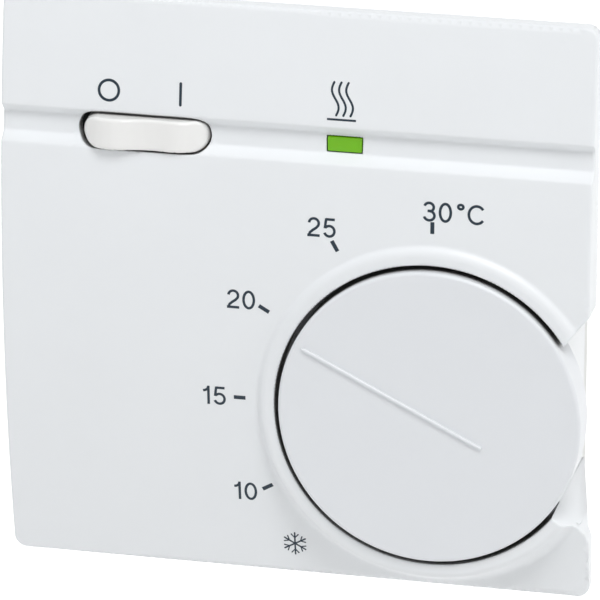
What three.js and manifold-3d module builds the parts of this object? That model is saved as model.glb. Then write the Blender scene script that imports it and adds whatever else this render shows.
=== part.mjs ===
// Wall thermostat: surface-mounted bimetal room thermostat with a side dial,
// an on/off rocker and a heating lamp. Millimetres. X right, Z up, Y into the
// wall: the back lies on the plane Y = 0 and the front faces -Y.
import * as THREE from "three";
import Module from "manifold-3d";
import { mergeVertices, toCreasedNormals } from "three/addons/utils/BufferGeometryUtils.js";
import { ConvexGeometry } from "three/addons/geometries/ConvexGeometry.js";

const wasm = await Module();
wasm.setup();

// ---- overall sizes ----
const coverWidth = 75;
const coverHeight = 75;
const totalDepth = 25.5;
const gap = 0.3; // between pieces that rest on each other
const fineGap = 0.12; // between a piece and the window it is fitted in
const runningGap = 0.05; // radial, between a shaft and its bearing
const farOut = 60; // reach of a cutter that passes right through

// ---- front: a shallow arc with a channel across it ----
const dialProud = 1.8; // dial in front of the face's crest
const faceCrest = -totalDepth + dialProud;
const faceRadius = 200;
const faceArcHeight = 1.5; // height of the arc's crest
const faceThickness = 1.9;
const rimEdge = 1.36; // thickness of the rim at its lower edge
const cornerRadius = 1.6;
const channelFromTop = 14.35; // top edge of the cover to the channel's step
const stepWidth = 1.05;
const channelWidth = 2.5;
const rampWidth = 1.1;
const stepTop = coverHeight / 2 - channelFromTop;
const channelTop = stepTop - stepWidth;
const channelBottom = channelTop - channelWidth;
const rampBottom = channelBottom - rampWidth;
const channelDepth = 1.25;
const channelFloorThickness = 1.6;

function faceY(z) {
  const rise = z - faceArcHeight;
  return faceCrest + faceRadius - Math.sqrt(faceRadius * faceRadius - rise * rise);
}

const rimBack = faceY(-coverHeight / 2) + rimEdge;

// ---- skirt: tapers from behind the rim to the base plate ----
const baseThickness = 2.4;
const baseFront = -baseThickness;
const skirtFront = rimBack - 0.8; // runs up into the rim
const skirtBack = baseFront - gap;
const skirtInset = 0.5; // behind the rim
const skirtTaperX = 0.216;
const skirtTaperZ = 0.3676;
const skirtWall = 1.6;
const skirtCorner = 2.4;

const skirtHalfX = (y) => coverWidth / 2 - skirtInset - skirtTaperX * (y - rimBack);
const skirtHalfZ = (y) => coverHeight / 2 - skirtInset - skirtTaperZ * (y - rimBack);

// ---- dial ----
const dialRadius = 19.2;
const dialGap = 0.65;
const dialFromSide = 0.6; // dial's edge to the cover's right edge
const collarFromBottom = 2.45;
const collarRim = 1.0;
const collarRound = 1.1;
const wellRadius = dialRadius + dialGap;
const collarRadius = wellRadius + collarRim + collarRound;
const pointerRib = { fromEdge: 1.1, tail: 7.6, halfWidth: 0.3, height: 0.35 };
const pointerAngle = 153.5; // at rest, from +X towards +Z
const dialHeight = 5.25;
const dialFace = -totalDepth + pointerRib.height;
const dialBack = dialFace + dialHeight;
const dialSkirt = 1.6;
const dialDisc = 1.7;
const dialUnder = dialFace + dialDisc;
const underDialSpace = 1.2;
const wellWall = 1.5;
const wellFloorFront = dialBack + underDialSpace;
const wellFloorThickness = 1.6;
const wellFloorBack = wellFloorFront + wellFloorThickness;
const collarProud = 0.6; // in front of the face's crest
const collarFront = faceCrest - collarProud;
const hubRadius = 4.6;
const hubBack = wellFloorBack - gap;
const hubHoleRadius = hubRadius + 2 * gap;
const spindleRadius = 2.35;
const spindleFlat = 1.6;
const spindleFront = dialUnder + 1.15;
const boreFront = spindleFront - gap;

// ---- places of the assemblies (group origins, on the wall plane) ----
const dialPlace = {
  x: coverWidth / 2 - dialFromSide - dialRadius,
  z: -coverHeight / 2 + collarFromBottom + collarRadius,
};
const leverFromDial = { x: 5.3, z: 18.6 };
const leverPlace = { x: dialPlace.x + leverFromDial.x, z: dialPlace.z + leverFromDial.z };
const rockerFromLeft = 18.3;
const channelMiddle = (channelTop + channelBottom) / 2;
const rockerPlace = { x: -coverWidth / 2 + rockerFromLeft, z: channelMiddle - 0.2 };
const lampFromRight = 31.3;
const lampPlace = { x: coverWidth / 2 - lampFromRight, z: channelMiddle - 0.1 };

// ---- colours ----
const coolWhite = 0xe9eceb;
const dialWhite = 0xe4e6e7;
const baseWhite = 0xdfe1df;

// ---- shared tools for shapes ----
const crease = 0.6;

function bareGeometry(geometry) {
  const bare = new THREE.BufferGeometry();
  bare.setAttribute("position", geometry.getAttribute("position").clone());
  if (geometry.index) {
    bare.setIndex(geometry.index.clone());
  }
  return mergeVertices(bare, 1e-4);
}

// A closed solid for adding and cutting, with its faces outward.
function solid(geometry) {
  const welded = bareGeometry(geometry);
  const places = welded.getAttribute("position").array;
  const corners = welded.index.array;
  const kept = [];
  let volume = 0;
  for (let i = 0; i < corners.length; i += 3) {
    const [a, b, c] = [corners[i], corners[i + 1], corners[i + 2]];
    if (a === b || b === c || c === a) {
      continue;
    }
    kept.push([a, b, c]);
    const [p, q, r] = [a, b, c].map((k) => new THREE.Vector3().fromArray(places, 3 * k));
    volume += p.dot(q.cross(r));
  }
  const ordered = volume < 0 ? kept.map(([a, b, c]) => [a, c, b]) : kept;
  return new wasm.Manifold(new wasm.Mesh({
    numProp: 3,
    vertProperties: new Float32Array(places),
    triVerts: new Uint32Array(ordered.flat()),
  }));
}

function geometryOf(body) {
  const mesh = body.getMesh();
  const geometry = new THREE.BufferGeometry();
  geometry.setAttribute("position", new THREE.BufferAttribute(new Float32Array(mesh.vertProperties), 3));
  geometry.setIndex(new THREE.BufferAttribute(new Uint32Array(mesh.triVerts), 1));
  return toCreasedNormals(geometry, crease);
}

const join = (first, ...others) => others.reduce((sum, piece) => sum.add(piece), first);
const cut = (first, ...others) => others.reduce((sum, piece) => sum.subtract(piece), first);

// A box from its low and high corners.
function block(x, y, z) {
  const box = new THREE.BoxGeometry(x[1] - x[0], y[1] - y[0], z[1] - z[0]);
  box.translate((x[0] + x[1]) / 2, (y[0] + y[1]) / 2, (z[0] + z[1]) / 2);
  return solid(box);
}

// A round bar along Y at (x, z).
function barY(radius, y, x = 0, z = 0, segments = 32) {
  const bar = new THREE.CylinderGeometry(radius, radius, y[1] - y[0], segments);
  bar.translate(x, (y[0] + y[1]) / 2, z);
  return solid(bar);
}

function barX(radius, x, y, z, segments = 20) {
  const bar = new THREE.CylinderGeometry(radius, radius, x[1] - x[0], segments);
  bar.rotateZ(Math.PI / 2);
  bar.translate((x[0] + x[1]) / 2, y, z);
  return solid(bar);
}

function barZ(radius, z, x = 0, y = 0, segments = 24) {
  const bar = new THREE.CylinderGeometry(radius, radius, z[1] - z[0], segments);
  bar.rotateX(Math.PI / 2);
  bar.translate(x, y, (z[0] + z[1]) / 2);
  return solid(bar);
}

// A shape drawn in X and Z, pulled along Y.
function prismY(shape, y, curveSegments = 12) {
  const prism = new THREE.ExtrudeGeometry(shape, {
    depth: y[1] - y[0],
    bevelEnabled: false,
    curveSegments,
  });
  const turn = new THREE.Matrix4().makeBasis(
    new THREE.Vector3(1, 0, 0),
    new THREE.Vector3(0, 0, 1),
    new THREE.Vector3(0, -1, 0),
  );
  prism.applyMatrix4(turn);
  prism.translate(0, y[1], 0);
  return solid(prism);
}

// A shape drawn in Y and Z, pulled along X.
function prismX(shape, x) {
  const prism = new THREE.ExtrudeGeometry(shape, { depth: x[1] - x[0], bevelEnabled: false });
  const turn = new THREE.Matrix4().makeBasis(
    new THREE.Vector3(0, 1, 0),
    new THREE.Vector3(0, 0, 1),
    new THREE.Vector3(1, 0, 0),
  );
  prism.applyMatrix4(turn);
  prism.translate(x[0], 0, 0);
  return solid(prism);
}

// A profile of (radius, y) points turned about Y.
function turned(points, segments) {
  return solid(new THREE.LatheGeometry(points.map(([r, y]) => new THREE.Vector2(r, y)), segments));
}

function outline(points) {
  return new THREE.Shape(points.map(([a, b]) => new THREE.Vector2(a, b)));
}

function roundedRectangle(halfX, halfZ, radius, x = 0, z = 0) {
  const shape = new THREE.Shape();
  shape.moveTo(x - halfX + radius, z - halfZ);
  shape.lineTo(x + halfX - radius, z - halfZ);
  shape.absarc(x + halfX - radius, z - halfZ + radius, radius, -Math.PI / 2, 0, false);
  shape.lineTo(x + halfX, z + halfZ - radius);
  shape.absarc(x + halfX - radius, z + halfZ - radius, radius, 0, Math.PI / 2, false);
  shape.lineTo(x - halfX + radius, z + halfZ);
  shape.absarc(x - halfX + radius, z + halfZ - radius, radius, Math.PI / 2, Math.PI, false);
  shape.lineTo(x - halfX, z - halfZ + radius);
  shape.absarc(x - halfX + radius, z - halfZ + radius, radius, Math.PI, 1.5 * Math.PI, false);
  return shape;
}

// Two parallel edges closed by half circles, the long way along X.
function obround(halfX, halfZ, x = 0, z = 0) {
  return roundedRectangle(halfX, halfZ, halfZ - 1e-3, x, z);
}

const parts = {};

// Makes the named sub-part and hangs it in its group.
function addPart(group, name, shape, color, roughness, metalness = 0) {
  const geometry = shape instanceof THREE.BufferGeometry ? shape : geometryOf(shape);
  const material = new THREE.MeshStandardMaterial({ color, roughness, metalness });
  material.name = name;
  const mesh = new THREE.Mesh(geometry, material);
  mesh.name = name;
  group.add(mesh);
  parts[name] = mesh;
  return mesh;
}

// ---- groups ----
const thermostat = new THREE.Group();
thermostat.name = "wall_thermostat";

function placedGroup(name, place) {
  const group = new THREE.Group();
  group.name = name;
  group.position.set(place.x, 0, place.z);
  thermostat.add(group);
  return group;
}

const housingGroup = placedGroup("housing", { x: 0, z: 0 });
const dialGroup = placedGroup("dial", dialPlace);
const rockerGroup = placedGroup("rocker_switch", rockerPlace);
const lampGroup = placedGroup("heating_lamp", lampPlace);
const leverGroup = placedGroup("setting_lever_assembly", leverPlace);
const contactGroup = placedGroup("contacts", { x: 0, z: 0 });
const boardGroup = placedGroup("board", { x: 0, z: 0 });
const terminalGroup = placedGroup("terminals", { x: 0, z: 0 });

// ---- base plate ----
const baseInset = 0.4; // behind the skirt's back edge
const baseHalfWidth = skirtHalfX(skirtBack) - baseInset;
const baseHalfHeight = skirtHalfZ(skirtBack) - baseInset;
const baseCornerRadius = 3;
const inBase = -0.5; // a post's foot, inside the plate
const cableHole = { fromMiddle: -12, belowBracket: 2.1, halfX: 8, halfZ: 10, radius: 2, rim: 1.2 };
const wallScrewSpacing = 60;
const wallSlot = { halfX: 2.9, halfZ: 1.8, shift: 1 };
const screwSeat = { margin: 0.9, height: 0.3 }; // raised round each wall slot
const bearing = { wall: 2.05, height: 2.8, floor: -1.0 };
const bearingFront = baseFront - bearing.height;
const journalRadius = 2.5;
const bearingRadius = journalRadius + runningGap + bearing.wall;
const leverPinRadius = 1.5;
const leverBoss = { wall: 1.7, front: -6.0 };
const leverBossRadius = leverPinRadius + fineGap + leverBoss.wall;
const coverScrewShank = 1.35;
const coverScrewHead = { radius: 2.75, height: 1.7 };
const screwPocket = { depth: 3.1, clearance: 0.35, wall: 1.3, floorThickness: 1.6 };
const screwPocketRadius = coverScrewHead.radius + screwPocket.clearance;
const screwPocketFloor = wellFloorFront + screwPocket.depth;
const screwPocketBack = screwPocketFloor + screwPocket.floorThickness;
const coverPost = { x: dialPlace.x - 11.5, z: dialPlace.z - 4.9, radius: 3.2, holeDepth: 8 };
const coverPostFront = screwPocketBack + gap;
const boardBack = -6.0;
const boardThickness = 1.6;
const boardFront = boardBack - boardThickness;
const guideTab = { halfX: 3, thickness: 1.2, clearance: 0.4, height: 7, xs: [-20, 22] };
const guideTabOuter = skirtHalfZ(skirtBack) - skirtWall - guideTab.clearance;
const guideTabInner = guideTabOuter - guideTab.thickness;
const board = {
  left: -skirtHalfX(boardBack) + skirtWall + 2.5,
  right: lampPlace.x + 8,
  low: channelMiddle - 8,
  high: guideTabInner - 0.5,
};
const boardPosts = [
  { x: rockerPlace.x - 8, z: rockerPlace.z - 5.65 },
  { x: board.right - 2.6, z: board.high - 2.4 },
];
const boardPostRadius = 2.2;
const boardScrewShank = 1.1;
const boardScrewHead = 1.85;

function basePlate() {
  let body = prismY(roundedRectangle(baseHalfWidth, baseHalfHeight, baseCornerRadius), [baseFront, 0], 6);
  body = join(
    body,
    barY(bearingRadius, [bearingFront, inBase], dialPlace.x, dialPlace.z),
    barY(leverBossRadius, [leverBoss.front, inBase], leverPlace.x, leverPlace.z, 24),
    barY(coverPost.radius, [coverPostFront, inBase], coverPost.x, coverPost.z, 24),
  );
  for (const post of boardPosts) {
    body = join(body, barY(boardPostRadius, [boardBack + gap, inBase], post.x, post.z, 20));
  }
  // Upright tabs that guide the cover's top and bottom walls.
  for (const side of [-1, 1]) {
    for (const x of guideTab.xs) {
      const spanZ = [side * guideTabInner, side * guideTabOuter].sort((a, b) => a - b);
      const spanY = [baseFront - guideTab.height, inBase];
      body = join(body, block([x - guideTab.halfX, x + guideTab.halfX], spanY, spanZ));
    }
  }
  // A low rim round the cable opening keeps the wires off the sharp edge.
  const hole = cableHole;
  const rimFront = baseFront - hole.rim;
  const [rimX, rimZ] = [hole.halfX + hole.rim, hole.halfZ + hole.rim];
  const holeZ = bracket.low - hole.belowBracket - rimZ;
  const opening = roundedRectangle(hole.halfX, hole.halfZ, hole.radius, hole.fromMiddle, holeZ);
  const rimOutline = roundedRectangle(rimX, rimZ, hole.radius + hole.rim, hole.fromMiddle, holeZ);
  body = join(body, prismY(rimOutline, [rimFront, inBase], 5));
  body = cut(body, prismY(opening, [-farOut, farOut], 5));
  const seatFront = baseFront - screwSeat.height;
  const [seatX, seatZ] = [wallSlot.halfX + screwSeat.margin, wallSlot.halfZ + screwSeat.margin];
  for (const side of [-1, 1]) {
    const x = side * (wallScrewSpacing / 2 - wallSlot.shift);
    body = join(body, prismY(obround(seatX, seatZ, x, 0), [seatFront, inBase], 6));
    body = cut(body, prismY(obround(wallSlot.halfX, wallSlot.halfZ, x, 0), [seatFront - 1, 1], 6));
  }
  const screwHole = [coverPostFront - 1, coverPostFront + coverPost.holeDepth];
  body = cut(
    body,
    barY(journalRadius + runningGap, [bearingFront - 1, bearing.floor], dialPlace.x, dialPlace.z),
    barY(leverPinRadius + fineGap, [leverBoss.front - 1, bearing.floor], leverPlace.x, leverPlace.z, 24),
    barY(coverScrewShank + gap, screwHole, coverPost.x, coverPost.z, 20),
  );
  for (const post of boardPosts) {
    body = cut(body, barY(boardScrewShank + gap, [boardBack - 1, bearing.floor], post.x, post.z, 16));
  }
  return body;
}

// ---- front cover ----
const slotGap = 0.5; // rocker's end to the slot's end
const slotSideGap = 0.25;
const capHalfX = 8.0;
const capHalfZ = 2.0;
const slotHalfX = capHalfX + slotGap;
const slotHalfZ = capHalfZ + slotSideGap;
const lensHalfX = 2.15;
const lensHalfZ = 0.92;
const vent = {
  halfWidth: 1.0,
  pitch: 5,
  behindRim: 3,
  topLength: 6,
  sideLength: 9,
  topCount: 11,
  sideCount: 9,
};
const thumb = { inset: 4.2, lead: 3.1, slope: 5.8, steps: [[1.2, 2.1], [0.4, 3.0], [0, 4.2]] };
const stopAngle = 20; // on the well's floor, from +X towards +Z
const screwHeadRelief = { width: 2.1, height: 2.5, halfZ: 3.6 };

// The front line in Y and Z, from the bottom edge to the top edge.
function faceLine(depth, floorDepth, halfHeight) {
  const line = [];
  const lowSteps = 22;
  for (let i = 0; i <= lowSteps; i += 1) {
    const z = -halfHeight + ((rampBottom + halfHeight) * i) / lowSteps;
    line.push([faceY(z) + depth, z]);
  }
  for (const z of [channelBottom, (channelBottom + channelTop) / 2, channelTop]) {
    line.push([faceY(z) + channelDepth + floorDepth, z]);
  }
  const highSteps = 6;
  for (let i = 0; i <= highSteps; i += 1) {
    const z = stepTop + ((halfHeight - stepTop) * i) / highSteps;
    line.push([faceY(z) + depth, z]);
  }
  return line;
}

function faceBody(depth, floorDepth, back, halfWidth, halfHeight) {
  const line = faceLine(depth, floorDepth, halfHeight);
  const around = [...line, [back, halfHeight], [back, -halfHeight]];
  return prismX(outline(around), [-halfWidth, halfWidth]);
}

// A rounded rectangle at a given Y, as points for a tapered body.
function skirtRing(y, shrink, radius) {
  const ring = roundedRectangle(skirtHalfX(y) - shrink, skirtHalfZ(y) - shrink, radius);
  return ring.getPoints(4).map((p) => new THREE.Vector3(p.x, y, p.y));
}

function skirtBody(front, back, shrink, radius) {
  const points = [...skirtRing(front, shrink, radius), ...skirtRing(back, shrink, radius)];
  return solid(new ConvexGeometry(points));
}

// Thumb cut-out beside the dial: it leaves the right edge above and below
// and runs in to the well. `grow` gives the wall that closes the cover there.
function thumbCut(grow) {
  const edge = coverWidth / 2;
  const inner = edge - thumb.inset;
  const reach = inner - dialPlace.x;
  const half = Math.sqrt(wellRadius * wellRadius - reach * reach);
  const top = dialPlace.z + half - thumb.lead;
  const bottom = dialPlace.z - half;
  const outside = edge + 2 + grow;
  const steps = thumb.steps.map(([x, z]) => [edge - x - 0.6 * grow, bottom - z - 0.8 * grow]);
  const points = [
    [outside, top + (thumb.slope / 4.7) * (outside - inner) + 0.75 * grow],
    [inner - grow, top + 0.45 * grow],
    [inner - grow, bottom - 0.3 * grow],
    ...steps,
    [outside, steps[steps.length - 1][1] - 0.3],
  ];
  return prismY(outline(points), [-farOut, 5]);
}

function collarBody() {
  const inner = wellRadius - 0.02;
  const profile = [
    [inner, wellFloorBack],
    [inner, collarFront + 0.12],
    [wellRadius + 0.12, collarFront],
    [wellRadius + collarRim, collarFront],
  ];
  for (const turn of [22, 45, 68, 90]) {
    const angle = THREE.MathUtils.degToRad(turn);
    profile.push([
      wellRadius + collarRim + collarRound * Math.sin(angle),
      collarFront + collarRound * (1 - Math.cos(angle)),
    ]);
  }
  profile.push([wellRadius + collarRim + collarRound, rimBack + 0.2]);
  profile.push([wellRadius + wellWall, wellFloorBack]);
  profile.push([inner, wellFloorBack]);
  return turned(profile, 80).translate(dialPlace.x, 0, dialPlace.z);
}

function frontCover() {
  const halfX = coverWidth / 2;
  const halfZ = coverHeight / 2;
  const squareOutline = prismY(roundedRectangle(halfX, halfZ, cornerRadius), [-farOut, 5], 4);
  const skirt = skirtBody(skirtFront, skirtBack, 0, skirtCorner);
  let outer = faceBody(0, 0, rimBack, halfX, halfZ).intersect(squareOutline);
  outer = join(outer, skirt);
  // The hollow inside: the tapered skirt's inner wall, closed by the face.
  const innerSkirt = skirtBody(faceCrest, skirtBack + 1, skirtWall, skirtCorner - 0.8);
  const innerFace = faceBody(faceThickness, channelFloorThickness, skirtBack + 2, halfX, halfZ);
  let hollow = innerSkirt.intersect(innerFace);
  const pocketOuter = screwPocketRadius + screwPocket.wall;
  hollow = cut(
    hollow,
    barY(wellRadius + wellWall, [-farOut, wellFloorBack], dialPlace.x, dialPlace.z, 80),
    barY(pocketOuter, [-farOut, screwPocketBack], coverPost.x, coverPost.z, 32),
    thumbCut(skirtWall),
  );
  let body = cut(outer, hollow);
  body = join(body, collarBody().intersect(squareOutline));
  const slotDepth = [-farOut, rimBack + 2];
  const lensX = [lampPlace.x - lensHalfX - fineGap, lampPlace.x + lensHalfX + fineGap];
  const lensZ = [lampPlace.z - lensHalfZ - fineGap, lampPlace.z + lensHalfZ + fineGap];
  body = cut(
    body,
    barY(wellRadius, [-farOut, wellFloorFront], dialPlace.x, dialPlace.z, 80),
    barY(hubHoleRadius, [-farOut, 0], dialPlace.x, dialPlace.z, 40),
    barY(screwPocketRadius, [-farOut, screwPocketFloor], coverPost.x, coverPost.z, 28),
    barY(coverScrewShank + gap, [-farOut, 0], coverPost.x, coverPost.z, 20),
    prismY(obround(slotHalfX, slotHalfZ, rockerPlace.x, rockerPlace.z), slotDepth, 10),
    block(lensX, slotDepth, lensZ),
    thumbCut(0),
  );
  body = cut(body, ...ventSlots(), ...screwHeadReliefs());
  const stopSpan = [ringRadii.blueInner + gap, ringRadii.redOuter - gap];
  const stop = block(stopSpan, [stopFront, wellFloorFront + 0.5], [-1.1, 1.1]);
  return join(body, stop.rotate([0, -stopAngle, 0]).translate(dialPlace.x, 0, dialPlace.z));
}

// Vent slots through the skirt, out of sight behind the rim.
function ventSlots() {
  const slots = [];
  const front = rimBack + vent.behindRim;
  const topReach = skirtHalfZ(skirtBack) - skirtWall - 1;
  const sideReach = skirtHalfX(skirtBack) - skirtWall - 1;
  for (let i = 0; i < vent.topCount; i += 1) {
    const x = (i - (vent.topCount - 1) / 2) * vent.pitch;
    const spanX = [x - vent.halfWidth, x + vent.halfWidth];
    slots.push(block(spanX, [front, front + vent.topLength], [topReach, farOut]));
    slots.push(block(spanX, [front, front + vent.topLength], [-farOut, -topReach]));
  }
  for (let i = 0; i < vent.sideCount; i += 1) {
    const z = (i - (vent.sideCount - 1) / 2) * vent.pitch;
    const spanZ = [z - vent.halfWidth, z + vent.halfWidth];
    slots.push(block([-farOut, -sideReach], [front, front + vent.sideLength], spanZ));
    if (z > dialPlace.z + wellRadius + vent.halfWidth) {
      slots.push(block([sideReach, farOut], [front, front + vent.sideLength], spanZ));
    }
  }
  return slots;
}

// Room for the two wall screws' heads inside the side walls.
function screwHeadReliefs() {
  const outer = skirtHalfX(skirtBack) - skirtWall + 1.2;
  const inner = outer - screwHeadRelief.width;
  const spanY = [skirtBack - screwHeadRelief.height, 0];
  const spanZ = [-screwHeadRelief.halfZ, screwHeadRelief.halfZ];
  return [block([-outer, -inner], spanY, spanZ), block([inner, outer], spanY, spanZ)];
}

// ---- dial, its two limit rings and the setting spindle ----
const ringWidth = 2.1;
const ringThickness = 1.1;
const ringRibWidth = 0.3;
const ringSideGap = 0.25;
const redOuter = dialRadius - dialSkirt - gap;
const ringRibOuter = redOuter - ringWidth - ringSideGap;
const ringRibInner = ringRibOuter - ringRibWidth;
const blueOuter = ringRibInner - ringSideGap;
const ringRadii = { redOuter, blueInner: blueOuter - ringWidth };
const ringFront = dialUnder + gap;
const ringBack = ringFront + ringThickness;
const noseBack = ringBack + 0.65;
const stopFront = noseBack + 0.4;
const ringTabBack = wellFloorFront - 0.5;
const blueRing = { inner: blueOuter - ringWidth, outer: blueOuter, tabInset: [0.1, 0.5] };
const redRing = { inner: redOuter - ringWidth, outer: redOuter, tabInset: [0.7, 0.1] };
const tabHalfAngle = 4;
const coldTurn = 86.5; // turn from rest to the frost mark
const warmTurn = 63.5; // turn from rest to the 30 degree mark
const tabMargin = 11;

function temperatureDial() {
  const edge = 0.45;
  const profile = [
    [0, boreFront],
    [spindleRadius + gap, boreFront],
    [spindleRadius + gap, hubBack],
    [hubRadius, hubBack],
    [hubRadius, dialUnder],
    [ringRibInner, dialUnder],
    [ringRibInner, ringBack - 0.15],
    [ringRibOuter, ringBack - 0.15],
    [ringRibOuter, dialUnder],
    [dialRadius - dialSkirt, dialUnder],
    [dialRadius - dialSkirt, dialBack],
    [dialRadius - 0.35, dialBack],
    [dialRadius - 0.1, dialBack + -0.3],
    [dialRadius, dialFace + edge],
    [dialRadius - 0.13, dialFace + 0.13],
    [dialRadius - edge, dialFace],
    [0, dialFace],
  ];
  let body = turned(profile, 80);
  // The rib's outer end is drawn to a point.
  const tip = dialRadius - pointerRib.fromEdge;
  const rib = outline([
    [-pointerRib.tail, -pointerRib.halfWidth],
    [tip - 0.5, -pointerRib.halfWidth],
    [tip, 0],
    [tip - 0.5, pointerRib.halfWidth],
    [-pointerRib.tail, pointerRib.halfWidth],
  ]);
  const pointer = prismY(rib, [-totalDepth, dialFace + 0.4]).rotate([0, -pointerAngle, 0]);
  body = join(body, pointer);
  // Flat in the hub's bore: the dial goes on one way round.
  const boreWide = spindleRadius + 2 * gap;
  const flat = block([spindleFlat + gap, hubRadius], [boreFront - 0.2, hubBack], [-boreWide, boreWide]);
  body = join(body, flat.intersect(barY(hubRadius - 0.5, [boreFront - 0.2, hubBack])));
  // Snap noses on the ring rib, over both limit rings.
  for (const turn of [15, 105, 195, 285]) {
    const nose = block([ringRibInner - 0.4, ringRibOuter + 0.4], [ringBack + gap / 2, noseBack], [-1, 1]);
    const neck = block([ringRibInner, ringRibOuter], [dialUnder - 0.2, noseBack - 0.15], [-1, 1]);
    body = join(body, nose.rotate([0, -turn, 0]), neck.rotate([0, -turn, 0]));
  }
  return body;
}

function limitRing(ring, tabAngle) {
  const band = turned([
    [ring.inner, ringFront],
    [ring.outer, ringFront],
    [ring.outer, ringBack],
    [ring.inner, ringBack],
    [ring.inner, ringFront],
  ], 64);
  const tab = new THREE.Shape();
  const low = THREE.MathUtils.degToRad(tabAngle - tabHalfAngle);
  const high = THREE.MathUtils.degToRad(tabAngle + tabHalfAngle);
  tab.absarc(0, 0, ring.outer - ring.tabInset[1], low, high, false);
  tab.absarc(0, 0, ring.inner + ring.tabInset[0], high, low, true);
  return join(band, prismY(tab, [ringBack - 0.3, ringTabBack], 3));
}

const camBack = bearingFront - 1.3;
const camThickness = 2.9;
const camFront = camBack - camThickness;
const shoulderRadius = 3.6;
const camRadius = 7.0; // under the follower at rest
const followerAngle = 120;
const leverRatio = 0.02; // lever turn for each degree of the dial
const noseRadius = 1.5;
const noseReach = camRadius + gap + noseRadius;
const noseOffset = {
  x: dialPlace.x + noseReach * Math.cos(THREE.MathUtils.degToRad(followerAngle)) - leverPlace.x,
  z: dialPlace.z + noseReach * Math.sin(THREE.MathUtils.degToRad(followerAngle)) - leverPlace.z,
};

// The cam falls away evenly, so the lever turns in step with the dial.
function camOutline() {
  const normal = {
    x: Math.cos(THREE.MathUtils.degToRad(followerAngle)),
    z: Math.sin(THREE.MathUtils.degToRad(followerAngle)),
  };
  const leverArm = noseOffset.x * normal.z - noseOffset.z * normal.x;
  const risePerDegree = THREE.MathUtils.degToRad(leverRatio) * Math.abs(leverArm);
  const runOut = 20;
  const start = followerAngle - coldTurn - runOut;
  const end = followerAngle + warmTurn + runOut;
  const lowRadius = camRadius - risePerDegree * (coldTurn + runOut);
  const highRadius = camRadius + risePerDegree * (warmTurn + runOut);
  const points = [];
  const steps = 60;
  for (let i = 0; i < steps; i += 1) {
    const turn = start + (360 * i) / steps;
    const share = (turn - start) / (end - start);
    const back = (turn - end) / (360 - (end - start));
    const radius = turn <= end
      ? lowRadius + (highRadius - lowRadius) * share
      : highRadius + (lowRadius - highRadius) * back;
    const angle = THREE.MathUtils.degToRad(turn);
    points.push([radius * Math.cos(angle), radius * Math.sin(angle)]);
  }
  return outline(points);
}

function settingSpindle() {
  let body = join(
    barY(journalRadius, [camBack - 0.5, bearing.floor - gap]),
    barY(shoulderRadius, [camFront - 1.2, camBack - 0.4]),
    barY(spindleRadius, [spindleFront, camFront - 0.5]),
    prismY(camOutline(), [camFront, camBack]),
  );
  const flatWide = 2 * spindleRadius;
  return cut(body, block([spindleFlat, flatWide], [-farOut, hubBack + 0.9], [-flatWide, flatWide]));
}

function springWasher() {
  const [inner, outer] = [journalRadius + gap, bearingRadius - gap];
  const [back, front] = [bearingFront - 0.4, bearingFront - 0.9];
  return turned([[inner, back], [outer, back], [outer, front], [inner, front], [inner, back]], 32);
}

// A countersunk or pan-head screw along Y, head at the front.
function screwY(headRadius, headFront, seat, shankRadius, tip, slotHalf = 0.3) {
  let body = join(
    barY(headRadius, [headFront, seat], 0, 0, 28),
    barY(shankRadius, [seat - 0.2, tip], 0, 0, 16),
  );
  body = cut(
    body,
    block([-headRadius - 1, headRadius + 1], [headFront - 1, headFront + 0.7], [-slotHalf, slotHalf]),
  );
  return body;
}

// ---- rocker switch ----
const channelFloorY = faceY(rockerPlace.z) + channelDepth;
const rockerPivotY = channelFloorY + 3.53;
const rockerTilt = 5; // either side of the middle
const pivotPinRadius = 1.0;
const stemHalf = 1.9;
const plungerRadius = 0.95;
const earHalfX = 2.6;
const earGap = 0.35;
const earThickness = 1.05;
const housingHalfX = capHalfX + 1.6;
const housingHalfZ = capHalfZ + earGap + earThickness;
const housingWall = 1.4;
const housingFront = rockerPivotY + 2.0;
const housingFloor = boardFront - gap - 1.3;
const earFront = channelFloorY + channelFloorThickness + 0.6;
const bridgeY = housingFloor - 2.2;
const bridgeTilt = 4;

// Shares of the cap's half length, and rise above the channel's floor.
const capLine = [
  [1, 0.1], [0.9625, 0.8], [0.9, 1.35], [0.8, 1.85], [0.675, 2.2], [0.525, 2.36],
  [0.3625, 2.3], [0.1875, 2.14], [0, 2.06],
];

function rockerCap() {
  const right = capLine.map(([share, rise]) => [share * capHalfX, channelFloorY - rise]);
  const left = right.slice(0, -1).reverse().map(([x, y]) => [-x, y]);
  const capBack = rockerPivotY - 0.9;
  const across = outline([...right, ...left, [-capHalfX, capBack], [capHalfX, capBack]]);
  const front = new THREE.ExtrudeGeometry(across, { depth: 2 * capHalfZ, bevelEnabled: false });
  front.translate(0, 0, -capHalfZ);
  const pinReach = housingHalfZ - 0.2;
  let body = solid(front).intersect(prismY(obround(capHalfX, capHalfZ), [-farOut, 0], 10));
  body = join(
    body,
    block([-4.2, 4.2], [capBack - 0.3, rockerPivotY + 1.4], [-capHalfZ, capHalfZ]),
    block([-stemHalf, stemHalf], [rockerPivotY + 1, rockerPivotY + 3.6], [-stemHalf, stemHalf]),
    barZ(pivotPinRadius, [-pinReach, pinReach], 0, rockerPivotY, 24),
  );
  body = cut(body, barY(plungerRadius + gap, [rockerPivotY + 0.4, 0], 0, 0, 20));
  return tiltAboutPivot(body, -rockerTilt);
}

function tiltAboutPivot(body, degrees) {
  return body.translate(0, -rockerPivotY, 0).rotate([0, 0, -degrees]).translate(0, rockerPivotY, 0);
}

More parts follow.
